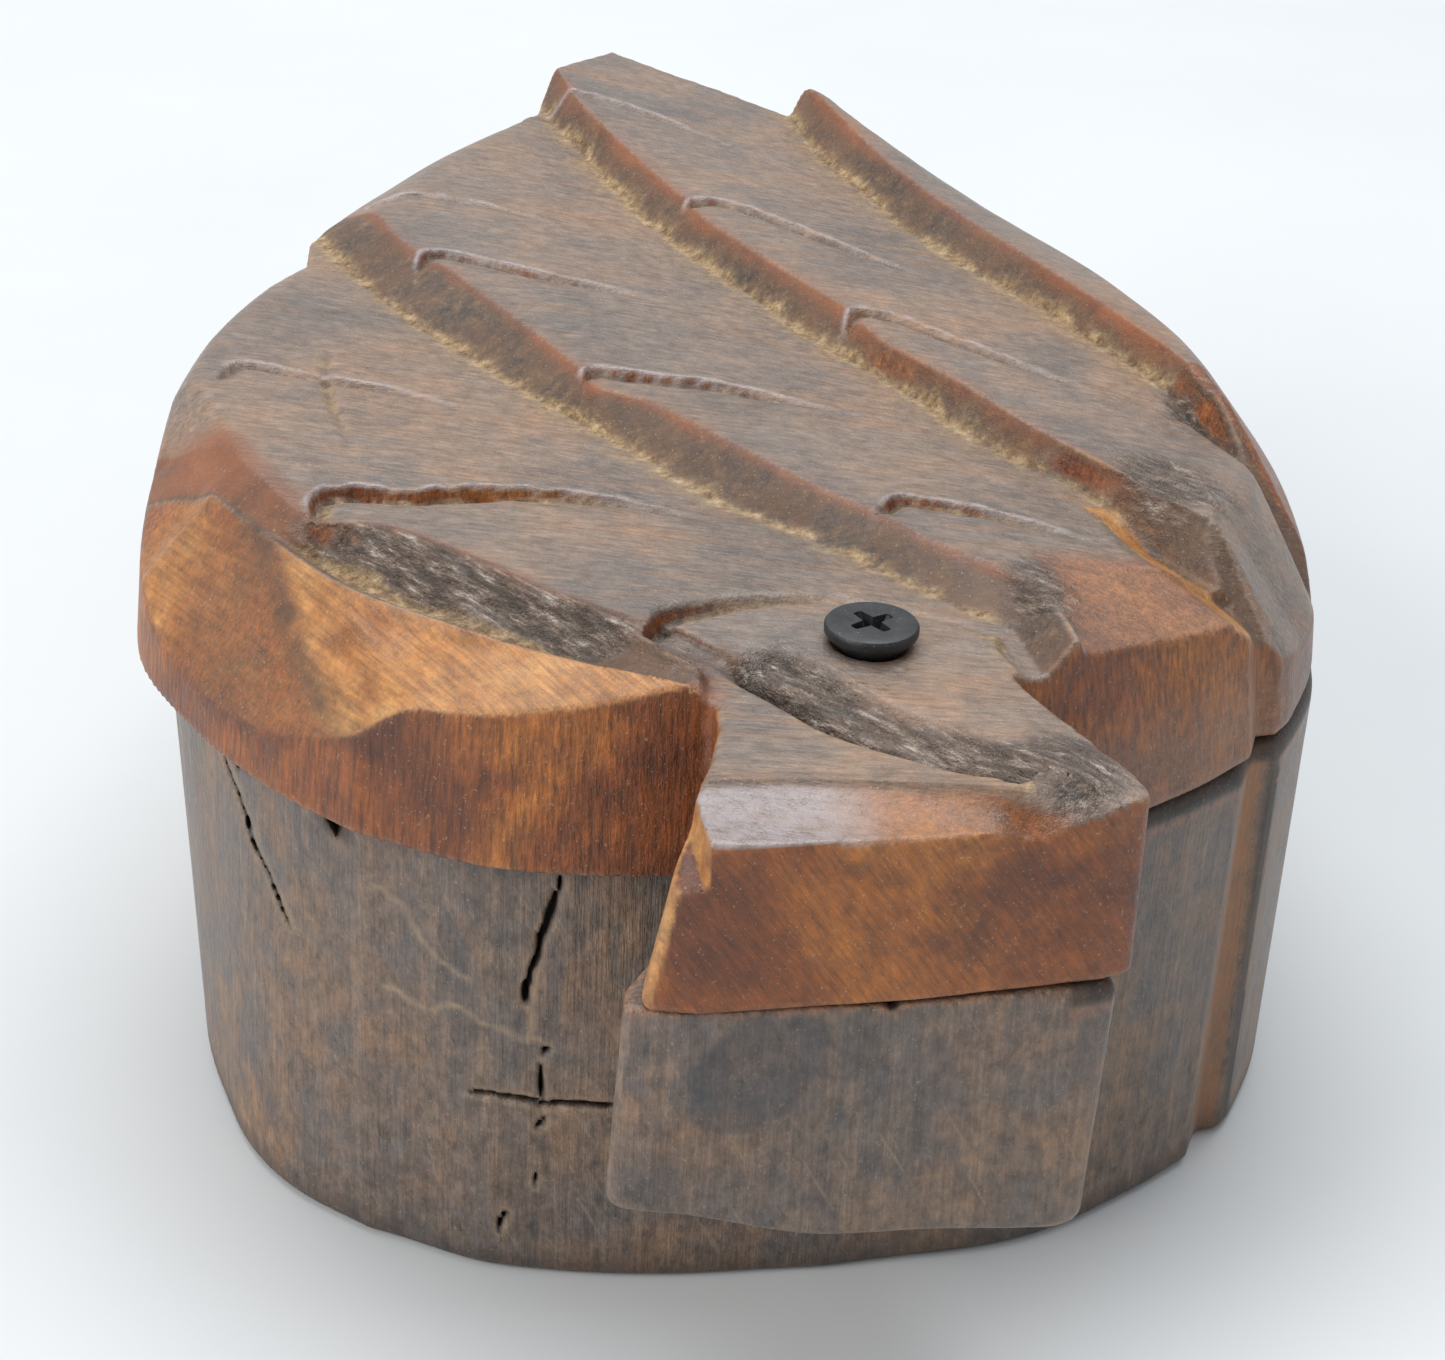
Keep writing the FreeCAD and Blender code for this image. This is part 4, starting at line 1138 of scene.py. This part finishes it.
def base_wood():
    """Darker, greyer hardwood of the base, with fine upright grain, stains, hairlines, dark cracks and a painted
    shadow line under the lid's seam on the right.
    """
    n = Nodes("base_wood")
    orange, grime_and_painted_shade, worn, stain = n.layer("tint")
    inside, pale, convex, hollow = n.layer("wood")

    upright = n.noise(n.place((1, 1, 0.05)), 2600, 3, 0.72, 0.2)
    streaks = n.noise(n.place((1, 1, 0.1)), 480, 4, 0.68)
    patches = n.noise(n.place((1, 1, 0.75)), 52, 5, 0.66, 0.9)
    clouds = n.noise(n.place((1, 1, 0.8), (0.3, 0.2, 0)), 150, 5, 0.7, 0.8)
    mottle = n.noise(n.place((1, 1, 0.7)), 700, 4, 0.78)
    scratches = n.noise(n.place((1, 1, 0.06), (0, 0.5, 0)), 1500, 3, 0.7)
    speckle = n.noise(n.place(), 3400, 1, 0.8)

    colour = n.ramp(patches, [(0.3, (0.075, 0.058, 0.048)), (0.45, (0.135, 0.092, 0.068)),
                              (0.57, (0.175, 0.104, 0.062)), (0.72, (0.25, 0.135, 0.068))])
    colour = n.mix(n.fit(clouds, 0.47, 0.62, 0, 0.7), colour, (0.092, 0.08, 0.076))
    colour = n.mix(n.fit(streaks, 0.52, 0.66, 0, 0.4), colour, (0.24, 0.15, 0.09))
    colour = shade(upright, 0.8, 1.18, n, colour)
    colour = shade(mottle, 0.55, 1.5, n, colour)
    colour = n.mix(n.fit(scratches, 0.6, 0.68, 0, 0.4), colour, (0.28, 0.2, 0.13))
    bruise = shade(mottle, 0.6, 1.5, n, (0.04, 0.038, 0.042))
    colour = n.mix(n.times(stain, 0.85), colour, bruise)
    colour = n.mix(n.times(pale, 0.75), colour, (0.33, 0.23, 0.14))
    colour = n.mix(n.times(worn, n.fit(mottle, 0.4, 0.6, 0.1, 0.9)), colour, (0.33, 0.13, 0.055))
    lining = shade(streaks, 0.6, 1.3, n, (0.26, 0.15, 0.08))
    colour = n.mix(n.times(inside, 0.85), colour, lining)
    colour = n.mix(n.times(orange, n.fit(clouds, 0.35, 0.6, 0.95, 0.5)), colour, (0.33, 0.135, 0.04))
    colour = n.mix(n.times(hollow, 0.6), colour, (0.025, 0.018, 0.014))
    colour = n.mix(n.times(convex, n.fit(mottle, 0.4, 0.6, 0.05, 0.5)), colour, (0.36, 0.23, 0.15))
    # Near black on cracks, chips, the darker foot, the dark step face and the painted shadow under the lid's seam.
    colour = n.mix(n.times(grime_and_painted_shade, 0.94), colour, (0.012, 0.009, 0.008))
    colour = n.mix(n.fit(speckle, 0.67, 0.75, 0, 0.35), colour, (0.45, 0.34, 0.24))

    gloss = n.plus(n.fit(patches, 0.3, 0.7, 0.36, 0.5), n.times(grime_and_painted_shade, 0.3))
    gloss = n.plus(gloss, n.fit(mottle, 0.4, 0.65, -0.08, 0.12))
    gloss = n.plus(gloss, n.times(inside, 0.2))

    normal = n.bump(n.plus(n.times(upright, 0.8), n.times(streaks, 0.5)), 0.0004, 0.6)
    normal = n.bump(n.noise(n.place(), 420, 3, 0.7), 0.0005, 0.45, normal)
    normal = n.bump(mottle, 0.0003, 0.5, normal)
    n.set(n.shader, Base_Color=colour, Roughness=gloss, Normal=normal, Specular_IOR_Level=0.6, Coat_Weight=0.15,
          Coat_Roughness=0.35)
    return n.material


def black_steel():
    """Black screw finish, dusty, with bare specks scattered all over it."""
    n = Nodes("black_steel")
    cloud = n.noise(n.place(), 600, 5, 0.65)
    fine = n.noise(n.place(), 3200, 4, 0.7)
    colour = n.ramp(cloud, [(0.3, (0.012, 0.013, 0.014)), (0.6, (0.024, 0.025, 0.027)), (0.8, (0.05, 0.049, 0.047))])
    colour = n.mix(n.fit(fine, 0.64, 0.7, 0, 0.6), colour, (0.30, 0.23, 0.15))
    gloss = n.fit(cloud, 0.3, 0.75, 0.34, 0.6)
    normal = n.bump(n.plus(n.times(fine, 0.5), cloud), 0.00008, 0.6)
    n.set(n.shader, Base_Color=colour, Roughness=gloss, Normal=normal, Metallic=0.0, Specular_IOR_Level=0.5)
    return n.material


def floor_paint():
    n = Nodes("pale_floor")
    smudge = n.noise(n.place(), 5, 5, 0.6)
    colour = n.ramp(smudge, [(0.3, (0.635, 0.645, 0.65)), (0.7, (0.685, 0.695, 0.70))])
    n.set(n.shader, Base_Color=colour, Roughness=0.6)
    return n.material


# ---- stage, camera, lights ----


def add_floor():
    reach = 3.0
    corners = [(-reach, -reach, 0), (reach, -reach, 0), (reach, reach, 0), (-reach, reach, 0)]
    mesh = bpy.data.meshes.new("floor")
    mesh.from_pydata(corners, [], [(0, 1, 2, 3)])
    mesh.materials.append(floor_paint())
    link_object("floor", mesh)


def add_camera():
    """The camera, looking down at the box from the front left."""
    azimuth, pitch, roll = math.radians(-10), math.radians(28), math.radians(-2.41)
    place = Vector((-48.4, -285.9, 174.8)) * MM
    heading = Matrix.Rotation(azimuth, 3, "Z")
    forward = heading @ Vector((0, math.cos(pitch), -math.sin(pitch)))
    level_right = heading @ Vector((1, 0, 0))
    down = forward.cross(level_right)
    right = math.cos(roll) * level_right + math.sin(roll) * down
    up = math.sin(roll) * level_right - math.cos(roll) * down
    data = bpy.data.cameras.new("camera")
    data.sensor_width = 36
    data.lens = 74.74
    data.clip_start = 0.01
    camera = link_object("camera", data)
    turn = Matrix((right, up, -forward)).transposed()
    camera.matrix_world = Matrix.Translation(place) @ turn.to_4x4()
    bpy.context.scene.camera = camera


def add_light(name, place, aim, size, power, colour):
    data = bpy.data.lights.new(name, "AREA")
    data.shape = "RECTANGLE"
    data.size, data.size_y = size
    data.energy = power
    data.color = colour
    light = link_object(name, data)
    light.location = place
    light.rotation_euler = (Vector(aim) - Vector(place)).to_track_quat("-Z", "Y").to_euler()


def add_lights():
    add_light("overhead", (0.1, 0.7, 2.2), (0, 0, 0), (2.2, 1.6), 48, (0.95, 0.98, 1.0))
    add_light("left", (-1.6, -0.7, 1.1), (0, 0, 0.03), (1.2, 1.0), 22, (1.0, 0.98, 0.95))
    world = bpy.data.worlds.new("studio")
    world.use_nodes = True
    background = world.node_tree.nodes["Background"].inputs
    background["Color"].default_value = (0.90, 0.95, 1.0, 1)
    background["Strength"].default_value = 0.55
    bpy.context.scene.world = world
    bpy.context.scene.view_settings.view_transform = "Standard"


# ---- assembly ----

lid = carve_lid()
lid.data.materials.append(lid_wood())
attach(lid, "lid")
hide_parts("lid")

base = carve_base()
base.data.materials.append(base_wood())
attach(base, "base")
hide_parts("base_block")

screw = build_screw()
screw.data.materials.clear()
screw.data.materials.append(black_steel())
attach(screw, "base")
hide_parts("pivot_screw")

add_floor()
add_camera()
add_lights()
